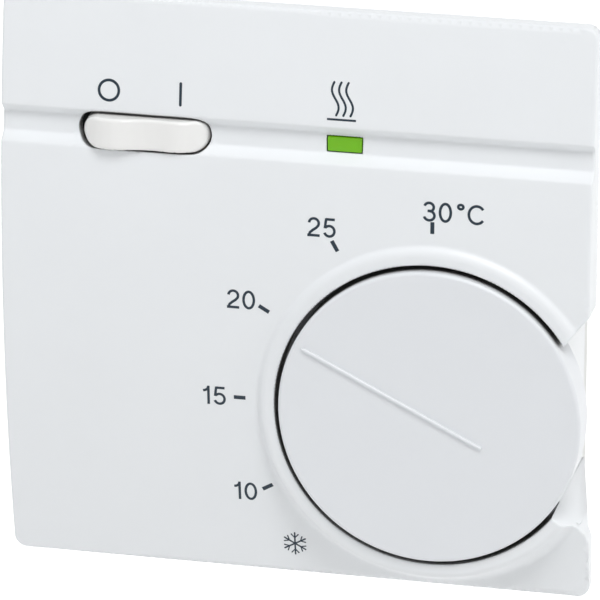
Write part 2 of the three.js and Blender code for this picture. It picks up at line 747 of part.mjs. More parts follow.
function rockerPlunger() {
  const straight = bridgeY - 0.6 - plungerRadius - rockerPivotY;
  const tipCentre = rockerPivotY + straight / Math.cos(THREE.MathUtils.degToRad(rockerTilt));
  const pin = join(
    barY(plungerRadius, [rockerPivotY + 2.4, tipCentre], 0, 0, 18),
    solid(new THREE.SphereGeometry(plungerRadius, 18, 10)).translate(0, tipCentre, 0),
  );
  return tiltAboutPivot(pin, -rockerTilt);
}

function rockerSpring() {
  const turns = 4;
  const path = new (class extends THREE.Curve {
    getPoint(t, target = new THREE.Vector3()) {
      const angle = 2 * Math.PI * turns * t;
      const along = rockerPivotY + 0.7 + 1.35 * t;
      return target.set(0.72 * Math.cos(angle), along, 0.72 * Math.sin(angle));
    }
  })();
  const wire = outlineCircle(0.13, 6);
  const coil = solid(new THREE.ExtrudeGeometry(wire, { steps: 48, extrudePath: path }));
  return tiltAboutPivot(coil, -rockerTilt);
}

function outlineCircle(radius, segments) {
  const points = [];
  for (let i = 0; i < segments; i += 1) {
    const angle = (2 * Math.PI * i) / segments;
    points.push([radius * Math.cos(angle), radius * Math.sin(angle)]);
  }
  return outline(points);
}

function switchHousing() {
  const depth = [housingFront, boardFront - gap];
  let body = block([-housingHalfX, housingHalfX], depth, [-housingHalfZ, housingHalfZ]);
  const [insideX, insideZ] = [housingHalfX - housingWall, housingHalfZ - 0.8];
  body = cut(body, block([-insideX, insideX], [-farOut, housingFloor], [-insideZ, insideZ]));
  const ear = [capHalfZ + earGap, housingHalfZ];
  for (const side of [-1, 1]) {
    const z = ear.map((edge) => side * edge).sort((a, b) => a - b);
    body = join(body, block([-earHalfX, earHalfX], [earFront, housingFront + 1], z));
  }
  return cut(body, barZ(pivotPinRadius + runningGap, [-farOut, farOut], 0, rockerPivotY, 24));
}

function contactBridge() {
  const strip = join(
    block([-6.6, 6.6], [bridgeY - 0.25, bridgeY + 0.25], [-1.7, 1.7]),
    barZ(0.7, [-1.7, 1.7], 0, bridgeY + 0.35, 16),
    barY(1.1, [bridgeY, bridgeY + 0.75], switchContactX, 0, 16),
  );
  return strip.translate(0, -bridgeY, 0).rotate([0, 0, -bridgeTilt]).translate(0, bridgeY, 0);
}

const switchContactX = 5.3;

function switchTerminal(x, rise) {
  const front = housingFloor - gap - rise;
  return block([x - 1.2, x + 1.2], [front, housingFloor - gap], [-1.5, 1.5]);
}

// ---- lamp and lens ----
const lensFloorY = faceY(lampPlace.z) + channelDepth;
const lensFlangeFront = lensFloorY + channelFloorThickness + gap;
const lensBack = lensFlangeFront + 1.6;

function indicatorLens() {
  const flange = [lensFlangeFront, lensFlangeFront + 1.2];
  return join(
    block([-lensHalfX, lensHalfX], [lensFloorY - 0.1, lensBack], [-lensHalfZ, lensHalfZ]),
    block([-lensHalfX - 0.8, lensHalfX + 0.8], flange, [-lensHalfZ - 0.7, lensHalfZ + 0.7]),
  );
}

function indicatorLamp() {
  const foot = boardFront - gap;
  const top = lensBack + 1.2;
  return turned([
    [0, foot],
    [1.75, foot],
    [1.75, foot - 1],
    [1.5, foot - 1],
    [1.5, top + 1.5],
    [1.3, top + 0.75],
    [0.75, top + 0.2],
    [0, top],
  ], 24);
}

// ---- setting lever, bimetal strip and contacts ----
const leverBack = leverBoss.front - gap;
const leverFront = leverBack - 3.1;
const leverHub = 3.3;
const upstand = { x: [-9, -2], z: [3.5, 4.9], front: -14.6 };
const stripThickness = 0.7;
const stripHigh = leverPlace.z + upstand.z[0] - 0.5;
const stripLow = stripHigh - stripThickness;
const strip = { left: leverPlace.x - 36.4, right: leverPlace.x - 2.4, back: -10.2, front: -14.4 };
const contactX = leverPlace.x - 29;
const contactY = (strip.back + strip.front) / 2;
const contactRadius = 1.5;
const movingContactHigh = stripHigh + 0.8;
const contactGap = 1.0;
const fixedTip = movingContactHigh + contactGap;
const rivetPlaces = [leverPlace.x - 7.4, leverPlace.x - 3.8];
const rivetRadius = 0.75;
const rivetHead = 1.4;

function capsule(ax, az, bx, bz, halfWidth) {
  const angle = Math.atan2(bz - az, bx - ax);
  const shape = new THREE.Shape();
  shape.absarc(bx, bz, halfWidth, angle - Math.PI / 2, angle + Math.PI / 2, false);
  shape.absarc(ax, az, halfWidth, angle + Math.PI / 2, angle + 1.5 * Math.PI, false);
  return shape;
}

function settingLever() {
  const arm = capsule(0, 0, noseOffset.x, noseOffset.z, noseRadius);
  const web = outline([[-9, 0.9], [-1.6, -1.6], [1, 3.2], [-2, upstand.z[1]], [-9, upstand.z[1]]]);
  let body = join(
    barY(leverHub, [leverFront - 0.4, leverBack], 0, 0, 28),
    prismY(arm, [leverFront, leverBack], 8),
    prismY(web, [leverFront, leverBack]),
    block(upstand.x, [upstand.front, leverBack], upstand.z),
  );
  body = cut(body, barY(leverPinRadius + runningGap, [-farOut, 0], 0, 0, 32));
  for (const x of rivetPlaces) {
    body = cut(body, barZ(rivetRadius + 0.15, [2, 7], x - leverPlace.x, contactY, 14));
  }
  return body;
}

function leverPin() {
  const head = leverFront - 0.4 - gap;
  return join(
    barY(leverPinRadius, [head, bearing.floor - gap], 0, 0, 32),
    barY(leverHub - 0.9, [head - 0.8, head], 0, 0, 28),
  );
}

function bimetalStrip() {
  let body = block([strip.left, strip.right], [strip.front, strip.back], [stripLow, stripHigh]);
  const through = [stripLow - 1, stripHigh + 1];
  for (const x of rivetPlaces) {
    body = cut(body, barZ(rivetRadius + 0.15, through, x, contactY, 14));
  }
  return cut(body, barZ(0.65, through, contactX, contactY, 14));
}

function rivet() {
  const top = leverPlace.z + upstand.z[1] + 0.2;
  const bottom = stripLow - 0.2;
  return join(
    barZ(rivetRadius, [bottom - 0.7, top + 0.7], 0, 0, 14),
    barZ(rivetHead, [top, top + 0.7], 0, 0, 18),
    barZ(rivetHead, [bottom - 0.7, bottom], 0, 0, 18),
  );
}

function movingContact() {
  return join(
    barZ(contactRadius, [stripHigh + 0.1, movingContactHigh], contactX, contactY, 20),
    barZ(0.5, [stripLow - 0.6, stripHigh + 0.2], contactX, contactY, 12),
    barZ(1.0, [stripLow - 0.6, stripLow - 0.1], contactX, contactY, 16),
  );
}

// The bracket stands on the base: a shelf for the contact screw, an arm
// that holds the magnet over the strip's end, and a foot.
const bracket = {
  left: contactX - 3.4,
  right: contactX + 3.4,
  low: fixedTip + 1.0,
  thickness: 1.2,
  front: strip.front - 0.8,
  back: baseFront - gap,
};
const magnet = { width: 2.8, height: 1.4, gap: 2.1 };
const magnetLow = stripHigh + magnet.gap;

function contactBracket() {
  const { left, right, low, thickness, front, back } = bracket;
  const armLow = magnetLow + magnet.height + gap;
  const armHigh = armLow + 1.1;
  const armBack = strip.back + 1;
  let body = join(
    block([left, right], [front, back], [low, low + thickness]),
    block([left, right], [back - thickness, back], [low, low + 6.1]),
    block([strip.left - 0.2, left + 0.4], [front, armBack], [armLow, armHigh]),
    block([left - 0.8, left + 0.4], [front, armBack], [low, armHigh]),
  );
  body = cut(
    body,
    barZ(1.1 + fineGap, [low - 2, armHigh + 2], contactX, contactY, 18),
    barY(1.2, [-farOut, 0], contactX, low + 4, 18),
  );
  return body;
}

function contactScrew() {
  const headLow = bracket.low + bracket.thickness + 1.7;
  const head = 2.3;
  const body = join(
    barZ(1.1, [fixedTip + 0.4, headLow + 0.5], contactX, contactY, 18),
    barZ(contactRadius, [fixedTip, fixedTip + 0.6], contactX, contactY, 20),
    barZ(head, [headLow, headLow + 1.4], contactX, contactY, 24),
  );
  const slotX = [contactX - head - 1, contactX + head + 1];
  return cut(body, block(slotX, [contactY - 0.3, contactY + 0.3], [headLow + 0.8, headLow + 3]));
}

function contactMagnet() {
  const spanX = [strip.left, strip.left + magnet.width];
  return block(spanX, [strip.front - 0.2, strip.back + 0.4], [magnetLow, magnetLow + magnet.height]);
}

// Leaf spring that holds the lever's nose to the cam.
function leafSpring() {
  const line = outline([
    [4.2, 8.1], [2.4, 8.1], [-6.8, 6.0], [-8.6, 6.4], [-8.8, 6.05], [-6.8, 5.55],
    [2.6, 7.65], [3.8, 7.65], [3.8, 5.1], [4.2, 5.1],
  ]);
  return prismY(line, [leverFront, baseFront - gap]);
}

// ---- circuit board and what stands on it ----
function circuitBoard() {
  let body = block([board.left, board.right], [boardFront, boardBack], [board.low, board.high]);
  for (const post of boardPosts) {
    body = cut(body, barY(boardScrewShank + gap, [-farOut, 0], post.x, post.z, 18));
  }
  // Notch that clears the contact bracket's screw.
  const notch = [bracket.left - 1, bracket.right + 1];
  return cut(body, block(notch, [-farOut, 0], [board.low - 1, bracket.low + 6.9]));
}

// A resistor lying along X on two bent legs.
function resistor(length, radius, height, foot) {
  const half = length / 2;
  const legX = half + 1;
  let body = join(
    barX(radius, [-half, half], height, 0),
    barX(radius * 1.14, [-half, -half + length * 0.2], height, 0),
    barX(radius * 1.14, [half - length * 0.2, half], height, 0),
    barX(0.35, [-legX - 0.3, legX + 0.3], height, 0, 8),
  );
  for (const side of [-1, 1]) {
    body = join(body, barY(0.35, [height - 0.3, foot], side * legX, 0, 8));
  }
  return body;
}

// ---- terminal block ----
const terminalCount = 5;
const terminalPitch = 6.2;
const terminalRight = coverPost.x - coverPost.radius - 1.3 - gap;
const terminalScrewX = (index) => terminalRight - (terminalCount - index - 0.5) * terminalPitch;
const terminalLow = -guideTabInner + 0.4;
const terminalHigh = terminalLow + 10.4;
const terminalZ = (terminalLow + terminalHigh) / 2;
const blockFront = -12.6;
const blockBack = baseFront - gap;
const wireWay = { halfX: 2.15, front: -8.6, back: -4.0 };
const clampHalfX = wireWay.halfX - gap;
const clampWall = 0.6;
const terminalHead = 1.95;
const terminalShank = 1.25;

function terminalBlock() {
  const left = terminalRight - terminalCount * terminalPitch;
  let body = block([left, terminalRight], [blockFront, blockBack], [terminalLow, terminalHigh]);
  // Stepped front: the wire side is lower than the screw side.
  const stepZ = [terminalHigh - 2, terminalHigh + 1];
  body = cut(body, block([left - 1, terminalRight + 1], [-farOut, blockFront + 2.4], stepZ));
  const wireZ = [terminalLow + 1.2, terminalHigh + 1];
  for (let i = 0; i < terminalCount; i += 1) {
    const x = terminalScrewX(i);
    body = cut(
      body,
      block([x - wireWay.halfX, x + wireWay.halfX], [wireWay.front, wireWay.back], wireZ),
      barY(terminalHead + 0.25, [-farOut, wireWay.front + 1], x, terminalZ, 24),
    );
  }
  return body;
}

function terminalClamp() {
  const tall = [wireWay.front + gap, wireWay.back - gap];
  const inside = clampHalfX - clampWall;
  let body = block([-clampHalfX, clampHalfX], tall, [-2.6, 2.6]);
  body = cut(body, block([-inside, inside], [tall[0] + 0.8, tall[1] - clampWall], [-5, 5]));
  return cut(body, barY(terminalShank + fineGap, [-farOut, tall[0] + 2], 0, 0, 18));
}

// An insulated lead laid along a smooth line.
function lead(points, radius) {
  const path = new THREE.CatmullRomCurve3(points.map(([x, y, z]) => new THREE.Vector3(x, y, z)));
  return solid(new THREE.ExtrudeGeometry(outlineCircle(radius, 10), { steps: 28, extrudePath: path }));
}

// ---- assembly ----
addPart(housingGroup, "base_plate", basePlate(), baseWhite, 0.55);
addPart(housingGroup, "front_cover", frontCover(), coolWhite, 0.5);
const coverScrewSeat = screwPocketFloor - gap;
const coverScrew = addPart(
  housingGroup,
  "cover_screw",
  screwY(
    coverScrewHead.radius,
    coverScrewSeat - coverScrewHead.height,
    coverScrewSeat,
    coverScrewShank,
    coverPostFront + coverPost.holeDepth - 1.5,
  ),
  0xc9ccce,
  0.35,
  1,
);
coverScrew.position.set(coverPost.x, 0, coverPost.z);

addPart(dialGroup, "temperature_dial", temperatureDial(), dialWhite, 0.48);
addPart(dialGroup, "limit_ring_cold", limitRing(blueRing, stopAngle - coldTurn - tabMargin), 0x2f5fae, 0.5);
addPart(dialGroup, "limit_ring_warm", limitRing(redRing, stopAngle + warmTurn + tabMargin), 0xc2362c, 0.5);
addPart(dialGroup, "setting_spindle", settingSpindle(), 0xd9d6c8, 0.5);
addPart(dialGroup, "spindle_washer", springWasher(), 0xb9bcc0, 0.35, 1);

addPart(rockerGroup, "rocker_cap", rockerCap(), 0xeeefee, 0.3);
addPart(rockerGroup, "rocker_plunger", rockerPlunger(), 0xd8d5cb, 0.4);
addPart(rockerGroup, "rocker_spring", rockerSpring(), 0xb8babd, 0.35, 1);
addPart(rockerGroup, "switch_housing", switchHousing(), 0x26282b, 0.5);
addPart(rockerGroup, "switch_contact_bridge", contactBridge(), 0xb98c4a, 0.3, 1);
addPart(rockerGroup, "switch_contact_on", switchTerminal(switchContactX, 0.65), 0xc9a24e, 0.3, 1);
addPart(rockerGroup, "switch_contact_centre", switchTerminal(0, 0.6), 0xc9a24e, 0.3, 1);

addPart(lampGroup, "indicator_lens", indicatorLens(), 0x7cc01e, 0.2);
addPart(lampGroup, "indicator_lamp", indicatorLamp(), 0x9bd23a, 0.15);

addPart(leverGroup, "setting_lever", settingLever(), 0xd9d6c8, 0.5);
addPart(leverGroup, "lever_pivot_pin", leverPin(), 0xb9bcc0, 0.3, 1);

addPart(contactGroup, "bimetal_strip", bimetalStrip(), 0xb7a98c, 0.3, 1);
for (const [index, x] of rivetPlaces.entries()) {
  const pin = addPart(contactGroup, `bimetal_rivet_${index + 1}`, rivet(), 0xc6c8ca, 0.35, 1);
  pin.position.set(x, contactY, 0);
}
addPart(contactGroup, "moving_contact", movingContact(), 0xd7d9da, 0.25, 1);
addPart(contactGroup, "fixed_contact_bracket", contactBracket(), 0xc9a24e, 0.3, 1);
addPart(contactGroup, "fixed_contact_screw", contactScrew(), 0xc6a860, 0.3, 1);
addPart(contactGroup, "contact_magnet", contactMagnet(), 0x4a4b4e, 0.45, 0.6);
addPart(leverGroup, "lever_leaf_spring", leafSpring(), 0xc6a860, 0.3, 1);
const heaterBody = resistor(6, 1.2, -11, baseFront - gap);
const heater = addPart(contactGroup, "feedback_resistor", heaterBody, 0x7d9ea8, 0.45);
heater.position.set(leverPlace.x - 19, 0, stripLow - 3.5);

addPart(boardGroup, "circuit_board", circuitBoard(), 0xa98b4e, 0.55);
for (const [index, post] of boardPosts.entries()) {
  const head = boardFront - gap;
  const screw = screwY(boardScrewHead, head - 1.4, head, boardScrewShank, bearing.floor - 0.9);
  const placed = addPart(boardGroup, `board_screw_${index + 1}`, screw, 0xc9ccce, 0.35, 1);
  placed.position.set(post.x, 0, post.z);
}
const lampResistor = addPart(
  boardGroup,
  "lamp_resistor",
  resistor(6, 1.1, boardFront - 1.9, boardFront - gap),
  0xc8b48a,
  0.45,
);
lampResistor.position.set(lampPlace.x - 0.2, 0, lampPlace.z - 4.9);
const capacitorRight = lampPlace.x - 4.7;
const capacitor = block(
  [capacitorRight - 9, capacitorRight],
  [boardFront - gap - 6.5, boardFront - gap],
  [board.high - 5.8, board.high - 0.8],
);
addPart(boardGroup, "arc_capacitor", capacitor, 0xd8b23a, 0.4);

addPart(terminalGroup, "terminal_block", terminalBlock(), 0xe6e4da, 0.5);
for (let i = 0; i < terminalCount; i += 1) {
  const screw = addPart(
    terminalGroup,
    `terminal_screw_${i + 1}`,
    screwY(terminalHead, wireWay.front - 2.8, wireWay.front - 1, terminalShank, wireWay.front + 2.2),
    0xc9ccce,
    0.35,
    1,
  );
  screw.position.set(terminalScrewX(i), 0, terminalZ);
  const clamp = addPart(terminalGroup, `terminal_clamp_${i + 1}`, terminalClamp(), 0xcbb06a, 0.35, 1);
  clamp.position.set(terminalScrewX(i), 0, terminalZ);
}
const leadRadius = 0.85;
const leadDeep = (wireWay.front + wireWay.back) / 2;
const leadFront = boardFront - gap - leadRadius;
const leadEnd = { x: board.left + 0.9, z: board.low + 0.1 };
const switchLead = lead([
  [terminalScrewX(0), leadDeep + 0.1, terminalZ + terminalShank + 2 * gap],
  [terminalScrewX(0), leadDeep + 0.1, terminalHigh + 0.6],
  [terminalScrewX(0) - 1.2, leadDeep - 1.2, terminalHigh + 5],
  [leadEnd.x - 0.2, leadFront - 0.6, -4],
  [leadEnd.x, leadFront - 0.3, leadEnd.z - 6],
  [leadEnd.x, leadFront, leadEnd.z],
], leadRadius);
addPart(terminalGroup, "switch_lead", switchLead, 0x6b3f28, 0.5);

export default thermostat;
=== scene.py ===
# Wall thermostat: the looks of every piece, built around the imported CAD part.
import math

import bmesh
import bpy
import numpy as np
from mathutils import Matrix, Vector, geometry, kdtree


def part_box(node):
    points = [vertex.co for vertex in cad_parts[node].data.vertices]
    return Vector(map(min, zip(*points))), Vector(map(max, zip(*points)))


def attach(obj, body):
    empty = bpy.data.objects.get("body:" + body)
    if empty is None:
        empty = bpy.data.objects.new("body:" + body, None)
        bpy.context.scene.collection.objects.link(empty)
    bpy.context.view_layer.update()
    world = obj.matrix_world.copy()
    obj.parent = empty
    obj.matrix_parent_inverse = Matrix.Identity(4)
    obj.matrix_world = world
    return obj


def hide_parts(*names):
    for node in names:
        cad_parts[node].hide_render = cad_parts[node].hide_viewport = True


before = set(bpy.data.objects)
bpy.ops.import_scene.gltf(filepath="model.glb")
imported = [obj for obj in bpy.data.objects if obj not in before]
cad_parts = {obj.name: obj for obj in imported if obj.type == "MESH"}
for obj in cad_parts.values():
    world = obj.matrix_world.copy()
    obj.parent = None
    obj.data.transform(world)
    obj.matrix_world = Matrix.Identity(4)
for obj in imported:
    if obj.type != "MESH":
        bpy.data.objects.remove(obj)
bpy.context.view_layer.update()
mm = 0.001


def linearFromHex(code):
    # an sRGB colour to linear light
    values = []
    for i in (1, 3, 5):
        v = int(code[i : i + 2], 16) / 255
        values.append(v / 12.92 if v <= 0.04045 else ((v + 0.055) / 1.055) ** 2.4)
    return (*values, 1.0)


def addNode(tree, kind, inputs=None, **settings):
    # an input is a value, or the output that feeds it
    node = tree.nodes.new(kind)
    for name, value in settings.items():
        setattr(node, name, value)
    for name, value in (inputs or {}).items():
        if isinstance(value, bpy.types.NodeSocket):
            tree.links.new(value, node.inputs[name])
        else:
            node.inputs[name].default_value = value
    return node


def newObject(name, mesh):
    piece = bpy.data.objects.new(name, mesh)
    bpy.context.scene.collection.objects.link(piece)
    return piece


def meshFrom(name, points, faces):
    # points in mm
    mesh = bpy.data.meshes.new(name)
    mesh.from_pydata((np.asarray(points, float) * mm).tolist(), [], faces)
    mesh.validate()
    return mesh


def faceOutward(mesh):
    work = bmesh.new()
    work.from_mesh(mesh)
    bmesh.ops.remove_doubles(work, verts=work.verts, dist=1e-8)
    bmesh.ops.recalc_face_normals(work, faces=work.faces)
    work.to_mesh(mesh)
    work.free()


def settle(piece):
    # The modifiers' result becomes the piece's plain mesh.
    graph = bpy.context.evaluated_depsgraph_get()
    plain = bpy.data.meshes.new_from_object(
        piece.evaluated_get(graph), preserve_all_data_layers=True, depsgraph=graph
    )
    piece.modifiers.clear()
    old = piece.data
    piece.data = plain
    bpy.data.meshes.remove(old)


def combine(piece, other, operation):
    change = piece.modifiers.new("change", "BOOLEAN")
    change.operation = operation
    change.solver = "MANIFOLD"
    change.object = other
    settle(piece)
    bpy.data.objects.remove(other)
    if len(piece.data.polygons) == 0:
        raise RuntimeError(f"{piece.name}: nothing is left after {operation}")
    return piece


def smooth(piece, angle=34, weighted=True):
    piece.data.shade_smooth()
    piece.data.set_sharp_from_angle(angle=math.radians(angle))
    if weighted:
        change = piece.modifiers.new("normals", "WEIGHTED_NORMAL")
        change.keep_sharp = True
        change.mode = "FACE_AREA"
        settle(piece)
    return piece


def cadCopy(node, name):
    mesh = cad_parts[node].data.copy()
    mesh.name = name
    mesh.materials.clear()
    faceOutward(mesh)
    for attribute in list(mesh.color_attributes):
        mesh.color_attributes.remove(attribute)
    return newObject(name, mesh)


def soften(piece, width, segments=2, angle=40):
    # Small rounded edges, as a mould or a press leaves them.
    work = bmesh.new()
    work.from_mesh(piece.data)
    bmesh.ops.dissolve_limit(work, angle_limit=math.radians(0.6), verts=work.verts, edges=work.edges)
    work.to_mesh(piece.data)
    work.free()
    change = piece.modifiers.new("edges", "BEVEL")
    change.width = width * mm
    change.segments = segments
    change.limit_method = "ANGLE"
    change.angle_limit = math.radians(angle)
    change.use_clamp_overlap = True
    settle(piece)
    return smooth(piece)


def finishPiece(piece, material, body, nodes):
    piece.data.materials.clear()
    piece.data.materials.append(material)
    for node in nodes:
        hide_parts(node)
    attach(piece, body)
    return piece


def revolve(name, profile, centre, segments=144):
    # profile: (radius, y) from the axis round to the axis again
    points, faces, rings = [], [], []
    for radius, y in profile:
        if radius < 1e-6:
            rings.append([len(points)])
            points.append((centre[0], y, centre[1]))
            continue
        ring = []
        for i in range(segments):
            turn = 2 * math.pi * i / segments
            ring.append(len(points))
            points.append((centre[0] + radius * math.cos(turn), y, centre[1] + radius * math.sin(turn)))
        rings.append(ring)
    closed = len(rings[0]) > 1
    pairs = list(zip(rings, rings[1:])) + ([(rings[-1], rings[0])] if closed else [])
    for a, b in pairs:
        for i in range(segments):
            j = (i + 1) % segments
            corners = [a[i % len(a)], a[j % len(a)], b[j % len(b)], b[i % len(b)]]
            corners = [c for n, c in enumerate(corners) if c not in corners[:n]]
            if len(corners) > 2:
                faces.append(corners)
    mesh = meshFrom(name, points, faces)
    faceOutward(mesh)
    return newObject(name, mesh)


def arcPoints(centre, radius, start, end, steps):
    turns = np.radians(np.linspace(start, end, steps + 1))
    return [(centre[0] + radius * math.cos(t), centre[1] + radius * math.sin(t)) for t in turns]


def insideLoop(points, loop):
    x, z = points[:, 0], points[:, 1]
    inside = np.zeros(len(points), bool)
    for (xi, zi), (xj, zj) in zip(loop, loop[1:] + loop[:1]):
        if zi != zj:
            crosses = (zi > z) != (zj > z)
            inside ^= crosses & (x < (xj - xi) * (z - zi) / (zj - zi) + xi)
    return inside


def insideLoops(points, loops):
    # inside the first loop and outside the holes that follow it
    inside = insideLoop(points, loops[0])
    for hole in loops[1:]:
        inside &= ~insideLoop(points, hole)
    return inside


def spreadPoints(loops, families):
    # the loops' points, then each family's points that keep its clearance from those before
    kept = [p for loop in loops for p in loop]
    for family, clear in families:
        family = np.asarray(family, float)
        near = kdtree.KDTree(len(kept))
        for i, (x, z) in enumerate(kept):
            near.insert((x, z, 0), i)
        near.balance()
        family = family[insideLoops(family, loops)]
        kept += [(x, z) for x, z in family if near.find((x, z, 0))[2] > clear]
    return kept


def fillOutline(loops, kept):
    edges, start = [], 0
    for loop in loops:
        edges += [(start + i, start + (i + 1) % len(loop)) for i in range(len(loop))]
        start += len(loop)
    flat, _, triangles, *_ = geometry.delaunay_2d_cdt([Vector(p) for p in kept], edges, [], 0, 1e-6)
    flat = np.array([(v.x, v.y) for v in flat])
    triangles = np.array(triangles)
    triangles = triangles[insideLoops(flat[triangles].mean(axis=1), loops)]
    a, b, c = (flat[triangles[:, i]] for i in range(3))
    area = (b[:, 0] - a[:, 0]) * (c[:, 1] - a[:, 1]) - (b[:, 1] - a[:, 1]) * (c[:, 0] - a[:, 0])
    triangles[area < 0] = triangles[area < 0][:, ::-1]
    return flat, triangles


def openEdges(triangles):
    # the edges that only one triangle has
    directed = {}
    for t in triangles.tolist():
        for p, q in ((t[0], t[1]), (t[1], t[2]), (t[2], t[0])):
            directed[(p, q)] = True
    return [(p, q) for p, q in directed if (q, p) not in directed]


def relief(name, loops, families, frontOf, backOf):
    # A closed solid over an outline in X and Z with holes. Its front and back are functions of x and z.
    flat, triangles = fillOutline(loops, spreadPoints(loops, families))
    x, z = flat[:, 0], flat[:, 1]
    front, back = frontOf(x, z), backOf(x, z)
    count = len(flat)
    points = [*zip(x, front, z), *zip(x, back, z)]
    rim = openEdges(triangles)
    support = {}
    for p, _ in rim:  # a row close behind the front keeps its edge crisp
        support[p] = len(points)
        points.append((x[p], min(front[p] + 0.06, (front[p] + back[p]) / 2), z[p]))
    faces = triangles.tolist() + (triangles[:, ::-1] + count).tolist()
    for p, q in rim:
        faces.append((p, support[p], support[q], q))
        faces.append((support[p], p + count, q + count, support[q]))
    mesh = meshFrom(name, points, faces)
    work = bmesh.new()
    work.from_mesh(mesh)
    loose = [v for v in work.verts if not v.link_faces]
    bmesh.ops.delete(work, geom=loose, context="VERTS")
    work.to_mesh(mesh)
    work.free()
    return newObject(name, mesh)


def softMin(a, b, k):
    # the smaller of two, rounded where they meet within k
    h = np.maximum(k - np.abs(a - b), 0) / k
    return np.minimum(a, b) - h * h * k / 4


def softMax(a, b, k):
    return -softMin(-a, -b, k)


def roundedDrop(distance, radius):
    # how far the surface falls back at an edge rounded to this radius
    inside = np.clip(radius - distance, 0, radius)
    return radius - np.sqrt(np.maximum(radius**2 - inside**2, 0))


def edgeSteps(radius):
    # distances from an edge at which its round needs points
    return [radius * (1 - math.cos(math.radians(t))) for t in (25, 45, 65, 90)] + [radius + 0.08]


print("tools ready")


# Painted shade in gaps: its dark colour, the occlusion at which it is darkest and at which it ends, and the
# share of the surface colour left where it is darkest.
gapShade = {"colour": "#2c241e", "thick": 0.22, "gone": 0.62, "seen": 0.03}


def surface(name, colour, roughness, metallic=0.0, shade=0.03, patch=7.0, grain=0.2, height=0.003, wear=0.05,
            ior=1.5, coat=0.0, scatter=0.0, glow=0.0, stretch=(1, 1, 1), creviceShade=0.0):
    # In mm: patch is the size of colour drift, grain and height the size and height of the texture,
    # and the last setting is how far the painted shade in gaps and recesses reaches.
    material = bpy.data.materials.new(name)
    material.use_nodes = True
    tree = material.node_tree
    tree.nodes.clear()
    where = addNode(tree, "ShaderNodeTexCoord").outputs["Object"]
    scaled = addNode(tree, "ShaderNodeMapping", {"Vector": where, "Scale": stretch}).outputs[0]
    drift = addNode(tree, "ShaderNodeTexNoise", {
        "Vector": scaled, "Scale": 1 / (patch * mm), "Detail": 3.0, "Roughness": 0.55})
    fine = addNode(tree, "ShaderNodeTexNoise", {
        "Vector": scaled, "Scale": 1 / (grain * mm), "Detail": 2.0, "Roughness": 0.6})
    base = linearFromHex(colour)
    dark = tuple(c * (1 - shade) for c in base[:3]) + (1,)
    light = tuple(min(c * (1 + shade), 1) for c in base[:3]) + (1,)
    tint = addNode(tree, "ShaderNodeMix", {0: drift.outputs[0], 6: dark, 7: light}, data_type="RGBA")
    colourOut = tint.outputs[2]
    # painted shade: ambient occlusion darkens the colour towards dark brown in narrow gaps and recesses
    if creviceShade:
        gap = addNode(tree, "ShaderNodeAmbientOcclusion", {"Distance": creviceShade * mm}, samples=8)
        unshadedShare = addNode(tree, "ShaderNodeMapRange", {
            "Value": gap.outputs["AO"], "From Min": gapShade["thick"], "From Max": gapShade["gone"],
            "To Min": gapShade["seen"], "To Max": 1.0}).outputs[0]
        shadeColour = linearFromHex(gapShade["colour"])
        shaded = addNode(tree, "ShaderNodeMix", {0: unshadedShare, 6: shadeColour, 7: colourOut}, data_type="RGBA")
        colourOut = shaded.outputs[2]
    worn = addNode(tree, "ShaderNodeMapRange", {
        "Value": drift.outputs[0], "From Min": 0.3, "From Max": 0.7,
        "To Min": max(roughness - wear, 0.02), "To Max": roughness + wear})
    bump = addNode(tree, "ShaderNodeBump", {
        "Height": fine.outputs[0], "Distance": height * mm, "Strength": 1.0})
    shader = addNode(tree, "ShaderNodeBsdfPrincipled", {
        "Base Color": colourOut, "Roughness": worn.outputs[0], "Normal": bump.outputs[0],
        "Metallic": metallic, "Coat Weight": coat, "Coat Roughness": 0.08,
        "Subsurface Weight": scatter, "Subsurface Scale": 0.6 * mm})
    if metallic == 0:
        shader.inputs["IOR"].default_value = ior
    if glow:
        shader.inputs["Emission Color"].default_value = base
        shader.inputs["Emission Strength"].default_value = glow
    addNode(tree, "ShaderNodeOutputMaterial", {"Surface": shader.outputs[0]})
    return material


# ABS moulded in a lightly spark-eroded tool: an even, softly matt white with a faint sheen, and painted shade
# in its gaps and recesses.
sparkedAbs = surface("abs_spark_moulded", "#edf0f2", 0.42, shade=0.012, patch=16, grain=0.16, height=0.0022,
                     wear=0.04, creviceShade=1.6)
# The same plastic in a slightly cooler batch, from a finer tool: a shade greyer and smoother, with the same
# painted shade in its gaps.
fineAbs = surface("abs_fine_moulded", "#e6e9ec", 0.40, shade=0.010, patch=14, grain=0.14, height=0.0018,
                  wear=0.04, creviceShade=1.6)
# ABS from a matt tool: a flat, slightly greyer white.
mattAbs = surface("abs_matt_moulded", "#dfe1df", 0.55, shade=0.02, patch=12, grain=0.25, height=0.006)
# ABS from a polished tool: glossy, with bright narrow reflections.
glossyAbs = surface("abs_gloss_moulded", "#f1f1ef", 0.16, shade=0.01, patch=9, grain=0.5, height=0.0006,
                    wear=0.04)
# Polyamide without pigment: creamy and slightly translucent.
plainNylon = surface("nylon_moulded", "#d9d6c8", 0.45, patch=5, height=0.004, scatter=0.25, ior=1.53)
# Black polyamide filled with glass: dull, with pale streaks of fibre.
glassNylon = surface("nylon_glass_filled", "#26282b", 0.52, shade=0.18, patch=1.2, grain=0.12, height=0.005,
                     ior=1.53)
# Moulded melamine: hard, pale cream, slightly glossy.
melamine = surface("melamine_moulded", "#e6e4da", 0.38, patch=3, grain=0.3, height=0.004)
# Tinted, polished acrylic with the lamp behind it: vivid green, with a painted glow standing in for the lamp's
# light shining through it.
greenAcrylic = surface("acrylic_polished_green", "#6cb00f", 0.12, shade=0.05, patch=2.5, grain=0.4,
                       height=0.0005, ior=1.49, scatter=0.2, glow=0.16)
# Moulded polypropylene: waxy and evenly coloured.
bluePolypropylene = surface("polypropylene_moulded_blue", "#2f5fae", 0.45, shade=0.05, patch=4, height=0.004)
redPolypropylene = surface("polypropylene_moulded_red", "#c2362c", 0.45, shade=0.05, patch=4, height=0.004)
